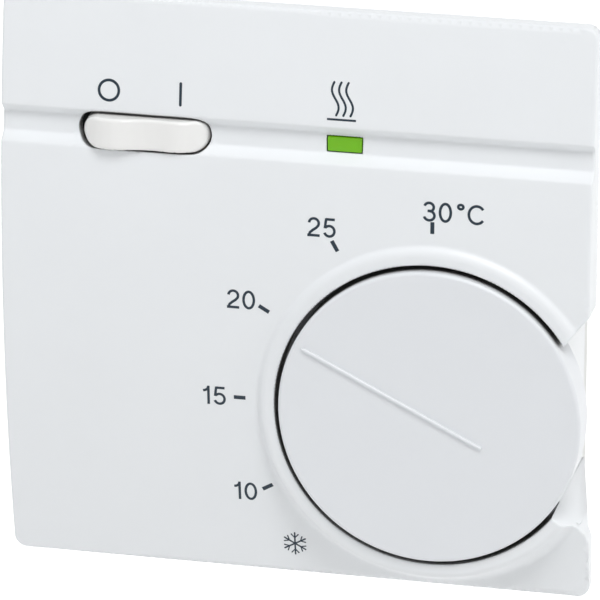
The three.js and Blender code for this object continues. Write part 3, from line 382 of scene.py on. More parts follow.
# Zinc-plated steel: pale, slightly blue grey with soft plating marks.
zincSteel = surface("steel_zinc_plated", "#c9ccce", 0.32, metallic=1, shade=0.06, patch=1.4, grain=0.08,
                    height=0.002)
# Spring steel, drawn one way: bright, with fine lines.
springSteel = surface("spring_steel_drawn", "#b9bcc0", 0.26, metallic=1, shade=0.05, patch=1.0, grain=0.1,
                      height=0.0015, stretch=(1, 1, 6))
# Stamped brass: a little dull from handling.
stampedBrass = surface("brass_stamped", "#cba85a", 0.30, metallic=1, shade=0.09, patch=2.2, grain=0.1,
                       height=0.002, wear=0.08)
# Silver on a contact: lightly tarnished.
contactSilver = surface("silver_tarnished", "#d7d9da", 0.28, metallic=1, shade=0.12, patch=0.8, grain=0.08,
                        height=0.002, wear=0.1)
# Bimetal, rolled along its length: a warm nickel grey.
rolledBimetal = surface("bimetal_rolled", "#b7a98c", 0.34, metallic=1, shade=0.06, patch=1.5, grain=0.12,
                        height=0.002, stretch=(0.3, 1, 4))
# Aluminium, headed as a rivet: a plain, soft grey.
headedAluminium = surface("aluminium_headed", "#c6c8ca", 0.33, metallic=1, shade=0.05, patch=1.0, grain=0.1,
                          height=0.002)
# Ground ferrite: dark grey and matt.
groundFerrite = surface("ferrite_ground", "#4a4b4e", 0.6, shade=0.15, patch=0.8, grain=0.12, height=0.006)
# Phenolic paper, pressed in sheets: tan, with fibres along one way.
phenolicPaper = surface("phenolic_paper_pressed", "#a98b4e", 0.40, shade=0.12, patch=2.0, grain=0.3,
                        height=0.004, stretch=(0.35, 1, 1.4))
# Dipped lacquer and epoxy: a thin glossy coat over an uneven core.
blueLacquer = surface("lacquer_dipped_blue", "#7d9ea8", 0.28, shade=0.05, patch=1.2, grain=0.7, height=0.012,
                      coat=0.6)
tanLacquer = surface("lacquer_dipped_tan", "#c8b48a", 0.28, shade=0.05, patch=1.2, grain=0.7, height=0.012,
                     coat=0.6)
yellowEpoxy = surface("epoxy_dipped_yellow", "#d8b23a", 0.26, shade=0.06, patch=2.0, grain=1.1, height=0.03,
                      coat=0.7)
# Cast epoxy of a lit lamp: clear green and smooth.
lampEpoxy = surface("epoxy_cast_green", "#9bd23a", 0.1, shade=0.04, patch=1.5, grain=0.6, height=0.0008,
                    ior=1.54, glow=0.5)
# Extruded PVC round a wire: brown and satin.
brownPvc = surface("pvc_extruded_brown", "#6b3f28", 0.42, shade=0.08, patch=1.4, grain=0.3, height=0.006,
                   ior=1.53)
# Tin solder, set from the melt: bright, in soft folds.
solderTin = surface("tin_solder_set", "#c4c6c7", 0.22, metallic=1, shade=0.08, patch=0.6, grain=0.4,
                    height=0.01)
# Pad-printed ink: dark slate, thin and nearly matt.
padInk = surface("ink_pad_printed", "#22323f", 0.48, shade=0.06, patch=1.0, grain=0.1, height=0.002)
print("materials ready")

# Sizes that the front pieces share, in mm, with Y into the wall.
sizes = {
    "half": 37.5, "corner": 1.6, "rimBack": -18.502,
    "faceCrest": -23.7, "faceRadius": 200.0, "faceMiddle": 1.5,
    "dialX": 17.7, "dialZ": -13.1, "dialRadius": 19.2, "wellRadius": 19.85,
}
dialCentre = (sizes["dialX"], sizes["dialZ"])
# The cover, in mm and degrees: its rounded edges, the collar round the dial and the channel across the top.
coverLook = {
    "rimRound": 0.32, "cutRound": 0.22, "wellRound": 0.14, "slotRound": 0.16, "windowRound": 0.1,
    "collarFront": -24.3, "collarRim": 1.0, "collarRound": 1.15, "collarWallAngle": 66, "collarFillet": 1.05,
    "channelLow": (18.5, 19.6), "channelHigh": (22.1, 23.15), "channelDepth": 1.25, "channelSoft": 0.22,
    "skin": 1.2, "rimSolid": 0.75, "rimBlend": 0.5, "insideBelow": 0.55, "insideHalf": 37.2,
}
slotPlace = {"x": -19.2, "z": 20.65, "halfX": 8.5, "halfZ": 2.25}
windowPlace = {"x": 6.2, "z": 20.75, "halfX": 2.27, "halfZ": 1.04}
upperCut = [(34.472, -2.482), (37.5, 1.26)]
lowerCut = [(37.5, -29.57), (37.1, -28.37), (36.3, -27.47), (33.3, -25.374)]


def faceY(z):
    # the crowned face, before its channel and collar
    s = sizes
    return s["faceCrest"] + s["faceRadius"] - np.sqrt(s["faceRadius"] ** 2 - (z - s["faceMiddle"]) ** 2)


def channelDepthAt(z):
    look = coverLook
    (low, lowFloor), (highFloor, high) = look["channelLow"], look["channelHigh"]
    deep = look["channelDepth"]
    soft = look["channelSoft"]
    ramp = softMin((z - low) * deep / (lowFloor - low), (high - z) * deep / (high - highFloor), soft)
    return softMax(softMin(ramp, deep, soft), 0 * z, soft)


def coverSurface(x, z):
    # the front without its rounded edges
    look = coverLook
    plain = faceY(z) + channelDepthAt(z)
    beyond = np.maximum(wellDistance(x, z) - look["collarRim"], 0)
    radius, steep = look["collarRound"], math.radians(look["collarWallAngle"])
    onRound = np.minimum(beyond, radius * math.sin(steep))
    collar = look["collarFront"] + radius - np.sqrt(radius**2 - onRound**2)
    collar = collar + np.maximum(beyond - radius * math.sin(steep), 0) * math.tan(steep)
    return softMin(plain, collar, look["collarFillet"])


def rimDistance(x, z):
    corner = sizes["corner"]
    qx, qz = np.abs(x) - (sizes["half"] - corner), np.abs(z) - (sizes["half"] - corner)
    outside = np.hypot(np.maximum(qx, 0), np.maximum(qz, 0)) + np.minimum(np.maximum(qx, qz), 0)
    return corner - outside


def lineDistance(x, z, line):
    best = np.full(np.shape(x), 1e9)
    for (ax, az), (bx, bz) in zip(line, line[1:]):
        dx, dz = bx - ax, bz - az
        t = np.clip(((x - ax) * dx + (z - az) * dz) / (dx * dx + dz * dz), 0, 1)
        best = np.minimum(best, np.hypot(x - ax - t * dx, z - az - t * dz))
    return best


def slotDistance(x, z):
    reach = slotPlace["halfX"] - slotPlace["halfZ"]
    along = np.maximum(np.abs(x - slotPlace["x"]) - reach, 0)
    return np.hypot(along, z - slotPlace["z"]) - slotPlace["halfZ"]


def windowDistance(x, z):
    qx = np.abs(x - windowPlace["x"]) - windowPlace["halfX"]
    qz = np.abs(z - windowPlace["z"]) - windowPlace["halfZ"]
    return np.hypot(np.maximum(qx, 0), np.maximum(qz, 0)) + np.minimum(np.maximum(qx, qz), 0)


def wellDistance(x, z):
    return np.hypot(x - sizes["dialX"], z - sizes["dialZ"]) - sizes["wellRadius"]


def coverFront(x, z):
    look = coverLook
    edges = [
        (rimDistance(x, z), look["rimRound"]), (lineDistance(x, z, upperCut), look["cutRound"]),
        (lineDistance(x, z, lowerCut), look["cutRound"]), (wellDistance(x, z), look["wellRound"]),
        (slotDistance(x, z), look["slotRound"]), (windowDistance(x, z), look["windowRound"]),
    ]
    drops = [roundedDrop(np.maximum(distance, 0), radius) for distance, radius in edges]
    return coverSurface(x, z) + np.max(drops, axis=0)


def coverBack(x, z):
    # behind the rim the solid reaches its back edge, elsewhere it is a skin under the front
    look = coverLook
    skin = np.maximum(coverSurface(x, z), faceY(z) + channelDepthAt(z)) + look["skin"]
    share = np.clip((rimDistance(x, z) - look["rimSolid"]) / look["rimBlend"], 0, 1)
    return np.minimum(sizes["rimBack"] * (1 - share) + skin * share, sizes["rimBack"])


def between(a, b, step):
    # points from a towards b, b left out
    n = max(int(round(math.hypot(b[0] - a[0], b[1] - a[1]) / step)), 1)
    return [(a[0] + (b[0] - a[0]) * i / n, a[1] + (b[1] - a[1]) * i / n) for i in range(n)]


# Rows of points across the channel, close together at its four edges.
channelRows = [
    18.1, 18.3, 18.4, 18.5, 18.6, 18.72, 18.9, 19.2, 19.4, 19.5, 19.6, 19.7, 19.82, 20.1, 20.6,
    21.1, 21.6, 21.88, 22.0, 22.1, 22.2, 22.35, 22.6, 22.9, 23.04, 23.15, 23.26, 23.4, 23.6,
]


def dialAngle(point):
    return math.degrees(math.atan2(point[1] - sizes["dialZ"], point[0] - sizes["dialX"]))


def coverOutline():
    # also gives the rows of points up the cover and the turn over which the dial's well is walled
    half, corner, step = sizes["half"], sizes["corner"], 1.25
    inner = half - corner
    below = [-inner + i * step for i in range(1, 58)]
    above = [24.2 + i * step for i in range(10)]
    rows = [z for z in below if z < 17.6] + channelRows + [z for z in above if z < inner - 0.4]
    loop = [(half, z) for z in [upperCut[1][1], *[z for z in rows if z > 2.2]]]
    loop += arcPoints((inner, inner), corner, 0, 90, 12)
    loop += between((inner, half), (-inner, half), step)[1:]
    loop += arcPoints((-inner, inner), corner, 90, 180, 12)
    loop += [(-half, z) for z in reversed(rows)]
    loop += arcPoints((-inner, -inner), corner, 180, 270, 12)
    loop += between((-inner, -half), (inner, -half), step)[1:]
    loop += arcPoints((inner, -inner), corner, 270, 360, 12)
    loop += between((half, -inner), lowerCut[0], 0.9)[1:]
    for a, b in zip(lowerCut, lowerCut[1:]):
        loop += between(a, b, 0.4)
    span = (dialAngle(lowerCut[-1]), dialAngle(upperCut[0]) - 360)
    loop += arcPoints(dialCentre, sizes["wellRadius"], *span, 190)
    loop += between(upperCut[0], upperCut[1], 0.4)[1:]
    return loop, rows, span


def offsetRows(line, distances, step):
    # points beside a line, to its left
    points = []
    for (ax, az), (bx, bz) in zip(line, line[1:]):
        length = math.hypot(bx - ax, bz - az)
        nx, nz = -(bz - az) / length, (bx - ax) / length
        for px, pz in between((ax, az), (bx, bz), step) + [(bx, bz)]:
            points += [(px + nx * d, pz + nz * d) for d in distances]
    return points


def dense(loop, step):
    full = []
    for a, b in zip(loop, loop[1:] + loop[:1]):
        full += between(a, b, step)
    return full


def roundEnded(x, z, reach, radius, steps):
    # a slot's outline, with half-round ends
    right = arcPoints((x + reach, z), radius, -90, 90, steps)
    return right + arcPoints((x - reach, z), radius, 90, 270, steps)


def boxOutline(x, z, halfX, halfZ):
    return [(x - halfX, z - halfZ), (x + halfX, z - halfZ), (x + halfX, z + halfZ), (x - halfX, z + halfZ)]


def slotLoop(grow=0.0):
    place = slotPlace
    reach = place["halfX"] - place["halfZ"]
    return dense(roundEnded(place["x"], place["z"], reach, place["halfZ"] + grow, 18), 0.6)


def windowLoop(grow=0.0):
    place = windowPlace
    return dense(boxOutline(place["x"], place["z"], place["halfX"] + grow, place["halfZ"] + grow), 0.35)


def rimPoints(rows, columns):
    half, inner = sizes["half"], sizes["half"] - sizes["corner"]
    insets = edgeSteps(coverLook["rimRound"]) + [0.7, 1.0, 1.35]
    points = [(side * (half - d), z) for side in (-1, 1) for d in insets for z in rows]
    points += [(x, side * (half - d)) for side in (-1, 1) for d in insets for x in columns]
    for cx, cz, start in ((inner, inner, 0), (-inner, inner, 90), (-inner, -inner, 180), (inner, -inner, 270)):
        for d in insets:
            points += arcPoints((cx, cz), sizes["corner"] - d, start, start + 90, 12)
    return [p for p in points if abs(p[0]) < inner or abs(p[1]) < inner
            or rimDistance(np.array(p[0]), np.array(p[1])) > 0.01]


def collarPoints(span):
    rings = edgeSteps(coverLook["wellRound"])
    rings += [0.45, 0.7, 0.94, 1.0, 1.08, 1.2, 1.34, 1.48, 1.62, 1.76, 1.88, 1.98, 2.05]
    rings += [2.12, 2.2, 2.3, 2.42, 2.56, 2.72, 2.9, 3.1, 3.35, 3.65, 4.0, 4.5, 5.1, 5.8]
    points = []
    for r in rings:
        points += arcPoints(dialCentre, sizes["wellRadius"] + r, span[0] + 25, span[1] - 25, 210)
    return points


def openingPoints():
    points = []
    for d in edgeSteps(coverLook["slotRound"]) + [0.4, 0.6]:
        points += slotLoop(d)
    for d in edgeSteps(coverLook["windowRound"]) + [0.3, 0.5]:
        points += windowLoop(d)
    return points


def coverFamilies(rows, span):
    # points over the front, densest where it curves, each family with the clearance it keeps
    columns = [-35.9 + i * 1.25 for i in range(58)]
    cut = edgeSteps(coverLook["cutRound"])
    return [
        (rimPoints(rows, columns), 0.012),
        (offsetRows(lowerCut, cut, 0.4), 0.02),
        (offsetRows(upperCut, cut, 0.4), 0.02),
        (collarPoints(span), 0.035),
        (openingPoints(), 0.03),
        ([(x, z) for z in channelRows for x in columns], 0.16),
        ([(x, z) for z in rows if z not in channelRows for x in columns], 0.55),
    ]


def coverInside():
    # the ribs, walls and bosses behind the face
    look = coverLook
    loop = dense(boxOutline(0, 0, look["insideHalf"], look["insideHalf"]), 1.25)
    rings = []
    for r in (0.2, 1.0, 1.4, 1.8, 2.1, 2.5, 3.0, 3.6, 4.4):
        rings += arcPoints(dialCentre, sizes["wellRadius"] + r, 0, 360, 150)
    grid = range(-36, 37, 2)
    families = [
        (rings, 0.2),
        ([(x, z) for z in channelRows for x in grid], 0.3),
        ([(x, z) for z in grid for x in grid], 0.6),
    ]
    keep = relief("keep", [loop], families, lambda x, z: coverSurface(x, z) + look["insideBelow"],
                  lambda x, z: 0 * x + 1.0)
    return combine(cadCopy("front_cover", "cover_inside"), keep, "INTERSECT")


def buildCover():
    outline, rows, span = coverOutline()
    loops = [outline, slotLoop()[::-1], windowLoop()[::-1]]
    shell = relief("cover_shell", loops, coverFamilies(rows, span), coverFront, coverBack)
    print("cover front", len(shell.data.polygons), "faces")
    combine(shell, coverInside(), "UNION")
    return smooth(shell)


cover = buildCover()
finishPiece(cover, sparkedAbs, "cover", ["front_cover"])
print("cover", len(cover.data.polygons), "faces")

# The dial, in mm: its face, its wall and the raised pointer, whose turn is in degrees.
dialLook = {
    "face": -25.15, "under": -23.45, "back": -19.9, "edge": 0.45, "backEdge": 0.3, "wall": 1.6,
    "innerFloor": 2.4, "ribFront": -25.49, "ribTail": 7.6, "ribTip": 18.1, "ribPoint": 0.55, "ribHalf": 0.27,
    "ribTurn": -153.5, "ribTop": 0.62, "ribFoot": 1.25, "ribEdge": 0.12, "hubStart": 0.6,
}


def dialDisc():
    look, radius = dialLook, sizes["dialRadius"]
    edge, backEdge = look["edge"], look["backEdge"]
    wallInside = radius - look["wall"] - 0.02
    profile = [(0, look["under"] - 0.2), (radius - look["innerFloor"], look["under"] - 0.2)]
    profile += [(wallInside, look["under"] + 0.3), (wallInside, look["back"] - 0.02)]
    profile += arcPoints((radius - backEdge, look["back"] - backEdge), backEdge, 90, 0, 4)
    profile += arcPoints((radius - edge, look["face"] + edge), edge, 0, -90, 8)
    profile += [(radius - edge - 0.2, look["face"]), (radius * 0.5, look["face"]), (0, look["face"])]
    return revolve("dial", profile, dialCentre, 192)


def dialRib():
    look = dialLook
    tail, shoulder, half = -look["ribTail"], look["ribTip"] - look["ribPoint"], look["ribHalf"]
    outline = [(tail, -half), (shoulder, -half), (look["ribTip"], 0), (shoulder, half), (tail, half)]
    front, back = look["ribFront"], look["face"] + 0.5
    n = len(outline)
    points = [(x * 0.999, front, z * look["ribTop"]) for x, z in outline]
    points += [(x, back, z * look["ribFoot"]) for x, z in outline]
    faces = [list(range(n)), list(range(2 * n - 1, n - 1, -1))]
    faces += [(i, i + n, (i + 1) % n + n, (i + 1) % n) for i in range(n)]
    mesh = meshFrom("pointer_rib", points, faces)
    faceOutward(mesh)
    turn = Matrix.Rotation(math.radians(look["ribTurn"]), 4, "Y")
    mesh.transform(Matrix.Translation(Vector((dialCentre[0], 0, dialCentre[1])) * mm) @ turn)
    rib = newObject("pointer_rib", mesh)
    change = rib.modifiers.new("edges", "BEVEL")
    change.width = look["ribEdge"] * mm
    change.segments = 4
    change.limit_method = "ANGLE"
    change.angle_limit = math.radians(30)
    settle(rib)
    rib.data.name = "pointer_rib"
    return smooth(rib, weighted=False)


def dialInside():
    # the hub and the ribs behind the face
    radius, start = sizes["dialRadius"] - 1.0, dialLook["under"] - dialLook["hubStart"]
    profile = [(0, start), (radius, start), (radius, -19.4), (14, -16), (0, -16)]
    keep = revolve("keep", profile, dialCentre, 96)
    return combine(cadCopy("temperature_dial", "dial_inside"), keep, "INTERSECT")


dial = dialDisc()
pointerRib = dialRib()
combine(dial, dialInside(), "UNION")
smooth(dial, 30)
finishPiece(dial, fineAbs, "dial", ["temperature_dial"])
finishPiece(pointerRib, fineAbs, "dial", [])
print("dial", len(dial.data.polygons), "faces")

# The rocker, in mm and degrees. The line gives its rise over the channel from an end to the middle,
# as shares of its half length.
rockerLook = {
    "halfX": 8.0, "halfZ": 2.0, "pivotY": -18.0, "tilt": 5.0, "edge": 0.42, "under": 1.1, "joinBelow": 1.4,
}
rockerLine = [(1, 0.1), (0.9625, 0.6), (0.9, 1.1), (0.8, 1.68), (0.675, 2.16), (0.525, 2.42), (0.3625, 2.36),
              (0.1875, 2.08), (0, 1.96)]
channelFloor = float(faceY(slotPlace["z"])) + coverLook["channelDepth"]
rockerReach = rockerLook["halfX"] - rockerLook["halfZ"]


def rockerFront(x, z):
    shares = np.abs(x) / rockerLook["halfX"]
    xs = [s for s, _ in rockerLine][::-1]
    rises = [r for _, r in rockerLine][::-1]
    rise = 0
    for shift in (-0.03, -0.015, 0, 0.015, 0.03):  # a short running mean takes the corners off the line
        rise = rise + np.interp(np.clip(shares + shift, 0, 1), xs, rises) / 5
    along = np.maximum(np.abs(x) - rockerReach, 0)
    inward = rockerLook["halfZ"] - np.hypot(along, z)
    return channelFloor - rise + roundedDrop(np.maximum(inward, 0), rockerLook["edge"])


def rockerRing(inset):
    return dense(roundEnded(0, 0, rockerReach, rockerLook["halfZ"] - inset, 22), 0.3)


def rockerPlace():
    # from the rocker's own frame to the cover, tilted as it rests
    pivot = Vector((0, rockerLook["pivotY"], 0)) * mm
    tilt = Matrix.Rotation(math.radians(rockerLook["tilt"]), 4, "Z")
    turn = Matrix.Translation(pivot) @ tilt @ Matrix.Translation(-pivot)
    return Matrix.Translation(Vector((slotPlace["x"], 0, slotPlace["z"])) * mm) @ turn


def buildRocker():
    look = rockerLook
    rings = []
    for d in (0.03, 0.1, 0.2, 0.32, 0.45, 0.55, 0.75):
        rings += rockerRing(d)
    grid = [(x * 0.25, z * 0.25) for x in range(-32, 33) for z in range(-8, 9)]
    top = relief("rocker_cap_piece", [rockerRing(0)], [(rings, 0.02), (grid, 0.15)], rockerFront,
                 lambda x, z: 0 * x + look["pivotY"] - look["under"])
    top.data.transform(rockerPlace())
    keep = bpy.data.meshes.new("keep")
    work = bmesh.new()
    bmesh.ops.create_cube(work, size=10 * mm)
    work.to_mesh(keep)
    work.free()
    keep.transform(Matrix.Translation(Vector((0, look["pivotY"] + 5 - look["joinBelow"], 0)) * mm)
                   @ Matrix.Diagonal((3, 1, 3, 1)))
    keep.transform(rockerPlace())
    lower = combine(cadCopy("rocker_cap", "rocker_lower"), newObject("keep", keep), "INTERSECT")
    combine(top, lower, "UNION")
    return smooth(top, 36)


rocker = buildRocker()
finishPiece(rocker, glossyAbs, "rocker", ["rocker_cap"])
print("rocker", len(rocker.data.polygons), "faces")

# The printed marks, in mm.
printLook = {"thick": 0.02, "sunk": 0.03, "line": 0.34, "wave": 0.27, "panel": 0.26, "arm": 0.2, "tip": 0.17}


def layOnFace(mesh):
    # the mesh is flat in X and Z, its y 0 in front and 1 behind, in mm
    co = np.zeros(len(mesh.vertices) * 3)
    mesh.vertices.foreach_get("co", co)
    co = co.reshape(-1, 3)
    surfaceY = coverSurface(co[:, 0] / mm, co[:, 2] / mm)
    behind = co[:, 1] > 0.5 * mm
    co[:, 1] = np.where(behind, surfaceY + printLook["sunk"], surfaceY - printLook["thick"]) * mm
    mesh.vertices.foreach_set("co", co.ravel())
    mesh.update()


def roundEnd(centre, fromSide):
    turns = [math.radians(t) for t in (30, 60, 90, 120, 150)]
    return [centre + Matrix.Rotation(-t, 2) @ fromSide for t in turns]


def stroke(points, width, closed=False, roundEnds=True):
    # a flat line of even width, front at y 0 and back at y 1
    path = [Vector(p) for p in points]
    n = len(path)
    left, right = [], []
    for i, p in enumerate(path):
        before = path[i - 1] if (i > 0 or closed) else None
        after = path[(i + 1) % n] if (i < n - 1 or closed) else None
        direction = Vector((0, 0))
        if before is not None:
            direction += (p - before).normalized()
        if after is not None:
            direction += (after - p).normalized()
        direction.normalize()
        side = Vector((-direction.y, direction.x)) * width / 2
        left.append(p + side)
        right.append(p - side)
    if not closed and roundEnds:
        endCap, startCap = roundEnd(path[-1], left[-1] - path[-1]), roundEnd(path[0], right[0] - path[0])
        loops = [left + endCap + right[::-1] + startCap]
    elif not closed:
        loops = [left + right[::-1]]
    else:
        loops = [left, right]
    corners, faces, starts = [], [], []
    for loop in loops:
        starts.append(len(corners))
        corners += [(p.x, 0, p.y) for p in loop] + [(p.x, 1, p.y) for p in loop]
    for start, loop in zip(starts, loops):
        m = len(loop)
        faces += [(start + i, start + m + i, start + m + (i + 1) % m, start + (i + 1) % m) for i in range(m)]
    if closed:
        m = len(left)
        a, b = starts
        faces += [(a + i, a + (i + 1) % m, b + (i + 1) % m, b + i) for i in range(m)]
        faces += [(a + m + i, a + m + (i + 1) % m, b + m + (i + 1) % m, b + m + i) for i in range(m)]
    else:
        m = len(loops[0])
        faces += [list(range(m)), list(range(2 * m - 1, m - 1, -1))]
    mesh = meshFrom("stroke", corners, faces)
    faceOutward(mesh)
    return newObject("stroke", mesh)


def mark(name, strokes):
    first = strokes[0]
    for other in strokes[1:]:
        combine(first, other, "UNION")
    first.name = name
    first.data.name = name
    layOnFace(first.data)
    return finishPiece(first, padInk, "cover", [])


def ellipseArc(cx, cz, rx, rz, start, end, steps=24):
    turns = np.radians(np.linspace(start, end, steps + 1))
    return [(cx + rx * math.cos(t), cz + rz * math.sin(t)) for t in turns]


# Each figure: the width it takes and its strokes, in a box one unit high. A closed stroke is marked True.
figureStrokes = {
    "0": (0.66, [(ellipseArc(0.27, 0.5, 0.22, 0.435, 0, 352, 44), True)]),
    "1": (0.50, [([(0.06, 0.735), (0.16, 0.76), (0.25, 0.83), (0.285, 0.94)], False),
                 ([(0.29, 0.0), (0.29, 1.0)], False)]),
    "2": (0.66, [(ellipseArc(0.27, 0.69, 0.205, 0.245, 175, -32, 22)
                  + [(0.36, 0.45), (0.22, 0.33), (0.11, 0.21), (0.065, 0.065)], False),
                 ([(0.0, 0.065), (0.52, 0.065)], False)]),
    "3": (0.66, [(ellipseArc(0.26, 0.72, 0.19, 0.215, 165, -80, 24), False),
                 (ellipseArc(0.27, 0.30, 0.215, 0.235, 95, -165, 26), False),
                 ([(0.20, 0.53), (0.30, 0.53)], False)]),
    "5": (0.66, [([(0.49, 0.935), (0.11, 0.935)], False), ([(0.13, 0.98), (0.075, 0.47)], False),
                 (ellipseArc(0.265, 0.33, 0.215, 0.27, 142, -160, 30), False)]),
    "C": (0.86, [(ellipseArc(0.39, 0.5, 0.325, 0.435, 38, 322, 40), False)]),
    "o": (0.42, [(ellipseArc(0.15, 0.84, 0.105, 0.105, 0, 348, 28), True)]),
}
# Where the figures stand, in mm: left side, foot and top. Width and weight are shares of their height.
figurePlaces = {
    "figure_30": ("30", 16.45, 12.25, 14.8), "unit_degrees_c": ("oC", 20.75, 12.25, 14.8),
    "figure_25": ("25", 1.95, 9.2, 11.7), "figure_20": ("20", -8.3, -1.05, 1.45),
    "figure_15": ("15", -11.75, -14.35, -11.85), "figure_10": ("10", -8.1, -27.5, -25.0),
}
figureLook = {"wide": 1.2, "weight": 0.13}


def printedFigures(name, figures, left, foot, top):
    tall, wide = top - foot, figureLook["wide"] * (top - foot)
    pieces = []
    for figure in figures:
        advance, strokes = figureStrokes[figure]
        for line, closed in strokes:
            placed = [(left + px * wide, foot + pz * tall) for px, pz in line]
            pieces.append(stroke(placed, figureLook["weight"] * tall, closed=closed, roundEnds=False))
        left += advance * wide
    return mark(name, pieces)


def heatingSign(lefts, foot, tall):
    # three waves rising from a warm panel
    waves = []
    for x in lefts:
        wave = [(x + 0.36 * math.sin(2 * math.pi * t) + 0.18 * (1 - 2 * t), foot + 0.53 + tall * t)
                for t in np.linspace(0, 1, 29)]
        waves.append(stroke(wave, printLook["wave"]))
    panel = [(lefts[0] - 0.97, foot), (lefts[-1] + 0.88, foot)]
    return waves + [stroke(panel, printLook["panel"], roundEnds=False)]


def frostSign(x, z, reach):
    # three crossed arms, each end with two side branches
    arms, branches = [], []
    for i in range(6):
        turn = math.radians(60 * i + 30)
        c, s = math.cos(turn), math.sin(turn)
        if i < 3:
            ends = [(x - reach * c, z - reach * s), (x + reach * c, z + reach * s)]
            arms.append(stroke(ends, printLook["arm"]))
        join = (x + 0.82 * c, z + 0.82 * s)
        left, right = [(join[0] + 0.68 * math.cos(turn + spread), join[1] + 0.68 * math.sin(turn + spread))
                       for spread in (-0.72, 0.72)]
        branches.append(stroke([left, join, right], printLook["tip"]))
    return arms + branches


for name, place in figurePlaces.items():
    printedFigures(name, *place)
mark("mark_off", [stroke(arcPoints((-23.6, 25.85), 1.27, 0, 352, 44), printLook["line"], closed=True)])
mark("mark_on", [stroke([(-14.45, 24.6), (-14.45, 27.3)], printLook["line"])])
mark("mark_heating", heatingSign((5.12, 6.02, 6.92), 24.22, 4.1))
mark("mark_frost", frostSign(-0.30, -33.3, 1.55))


def groupTree(name, inputs):
    # an empty Geometry Nodes tree with named inputs
    tree = bpy.data.node_groups.new(name, "GeometryNodeTree")
    tree.interface.new_socket("Geometry", in_out="INPUT", socket_type="NodeSocketGeometry")
    for label, kind, value in inputs:
        socket = tree.interface.new_socket(label, in_out="INPUT", socket_type=kind)
        if value is not None:
            socket.default_value = value
    tree.interface.new_socket("Geometry", in_out="OUTPUT", socket_type="NodeSocketGeometry")
    return tree, addNode(tree, "NodeGroupInput"), addNode(tree, "NodeGroupOutput")


def runTree(name, tree, values, mesh=None):
    # the tree's result as a plain mesh
    piece = newObject(name, mesh or bpy.data.meshes.new(name))
    change = piece.modifiers.new("nodes", "NODES")
    change.node_group = tree
    for item in tree.interface.items_tree:
        if item.item_type == "SOCKET" and item.in_out == "INPUT" and item.name in values:
            change[item.identifier] = values[item.name]
    settle(piece)
    return piece


def closeTree(tree, shape, outer, material):
    plain = addNode(tree, "GeometryNodeRealizeInstances", {"Geometry": shape})
    painted = addNode(tree, "GeometryNodeSetMaterial", {"Geometry": plain.outputs[0], "Material": material})
    tree.links.new(painted.outputs[0], outer.inputs[0])


# Scale marks round the dial, one every five degrees of temperature: sizes in mm, turns in degrees.
scaleLook = {"count": 5, "first": 90, "step": 30, "radius": 24.55, "length": 1.5, "width": 0.5}


def scaleTree():
    tree, given, result = groupTree("scale_marks", [
        ("Count", "NodeSocketInt", 5), ("First angle", "NodeSocketFloat", 0.0),
        ("Step", "NodeSocketFloat", 0.0), ("Radius", "NodeSocketFloat", 0.0),
        ("Length", "NodeSocketFloat", 0.0), ("Width", "NodeSocketFloat", 0.0),
        ("Material", "NodeSocketMaterial", None)])

    index = addNode(tree, "GeometryNodeInputIndex").outputs[0]
    turns = addNode(tree, "ShaderNodeMath", {
        0: index, 1: given.outputs["Step"], 2: given.outputs["First angle"]}, operation="MULTIPLY_ADD")
    turn = turns.outputs[0]
    cosine = addNode(tree, "ShaderNodeMath", {0: turn}, operation="COSINE")
    sine = addNode(tree, "ShaderNodeMath", {0: turn}, operation="SINE")
    outward = addNode(tree, "ShaderNodeCombineXYZ", {0: cosine.outputs[0], 2: sine.outputs[0]})
    spot = addNode(tree, "ShaderNodeVectorMath", {0: outward.outputs[0], "Scale": given.outputs["Radius"]},
                   operation="SCALE")
    places = addNode(tree, "GeometryNodePoints", {
        "Count": given.outputs["Count"], "Position": spot.outputs[0]})
    size = addNode(tree, "ShaderNodeCombineXYZ", {
        0: given.outputs["Length"], 1: 1.0 * mm, 2: given.outputs["Width"]})
    bar = addNode(tree, "GeometryNodeMeshCube", {"Size": size.outputs[0], "Vertices X": 6, "Vertices Z": 3})
    back = addNode(tree, "ShaderNodeMath", {0: turn, 1: -1.0}, operation="MULTIPLY")
    aim = addNode(tree, "ShaderNodeCombineXYZ", {1: back.outputs[0]})
    copies = addNode(tree, "GeometryNodeInstanceOnPoints", {
        "Points": places.outputs[0], "Instance": bar.outputs[0], "Rotation": aim.outputs[0]})
    closeTree(tree, copies.outputs[0], result, given.outputs["Material"])
    return tree


def buildScale():
    look = scaleLook
    scale = runTree("scale_marks", scaleTree(), {
        "Count": look["count"], "First angle": math.radians(look["first"]), "Step": math.radians(look["step"]),
        "Radius": look["radius"] * mm, "Length": look["length"] * mm, "Width": look["width"] * mm,
        "Material": padInk})
    scale.data.transform(Matrix.Translation(Vector((dialCentre[0], 0.5, dialCentre[1])) * mm))
    layOnFace(scale.data)
    return finishPiece(scale, padInk, "cover", [])


buildScale()
print("marks ready")

# The rocker's spring, a wound wire, in mm. It starts this far behind the rocker's axle.
springLook = {"turns": 4.0, "radius": 0.72, "length": 1.35, "wire": 0.13, "behindAxle": 0.7}


def springTree():
    tree, given, result = groupTree("wound_spring", [
        ("Turns", "NodeSocketFloat", 4.0), ("Coil radius", "NodeSocketFloat", 0.0),
        ("Length", "NodeSocketFloat", 0.0), ("Wire radius", "NodeSocketFloat", 0.0),
        ("Material", "NodeSocketMaterial", None)])
    coilRadius = given.outputs["Coil radius"]
    spiral = addNode(tree, "GeometryNodeCurveSpiral", {
        "Resolution": 28, "Rotations": given.outputs["Turns"], "Start Radius": coilRadius,
        "End Radius": coilRadius, "Height": given.outputs["Length"]})
    wire = addNode(tree, "GeometryNodeCurvePrimitiveCircle", {
        "Resolution": 10, "Radius": given.outputs["Wire radius"]})
    coil = addNode(tree, "GeometryNodeCurveToMesh", {
        "Curve": spiral.outputs[0], "Profile Curve": wire.outputs[0], "Fill Caps": True})
    closeTree(tree, coil.outputs[0], result, given.outputs["Material"])
    return tree


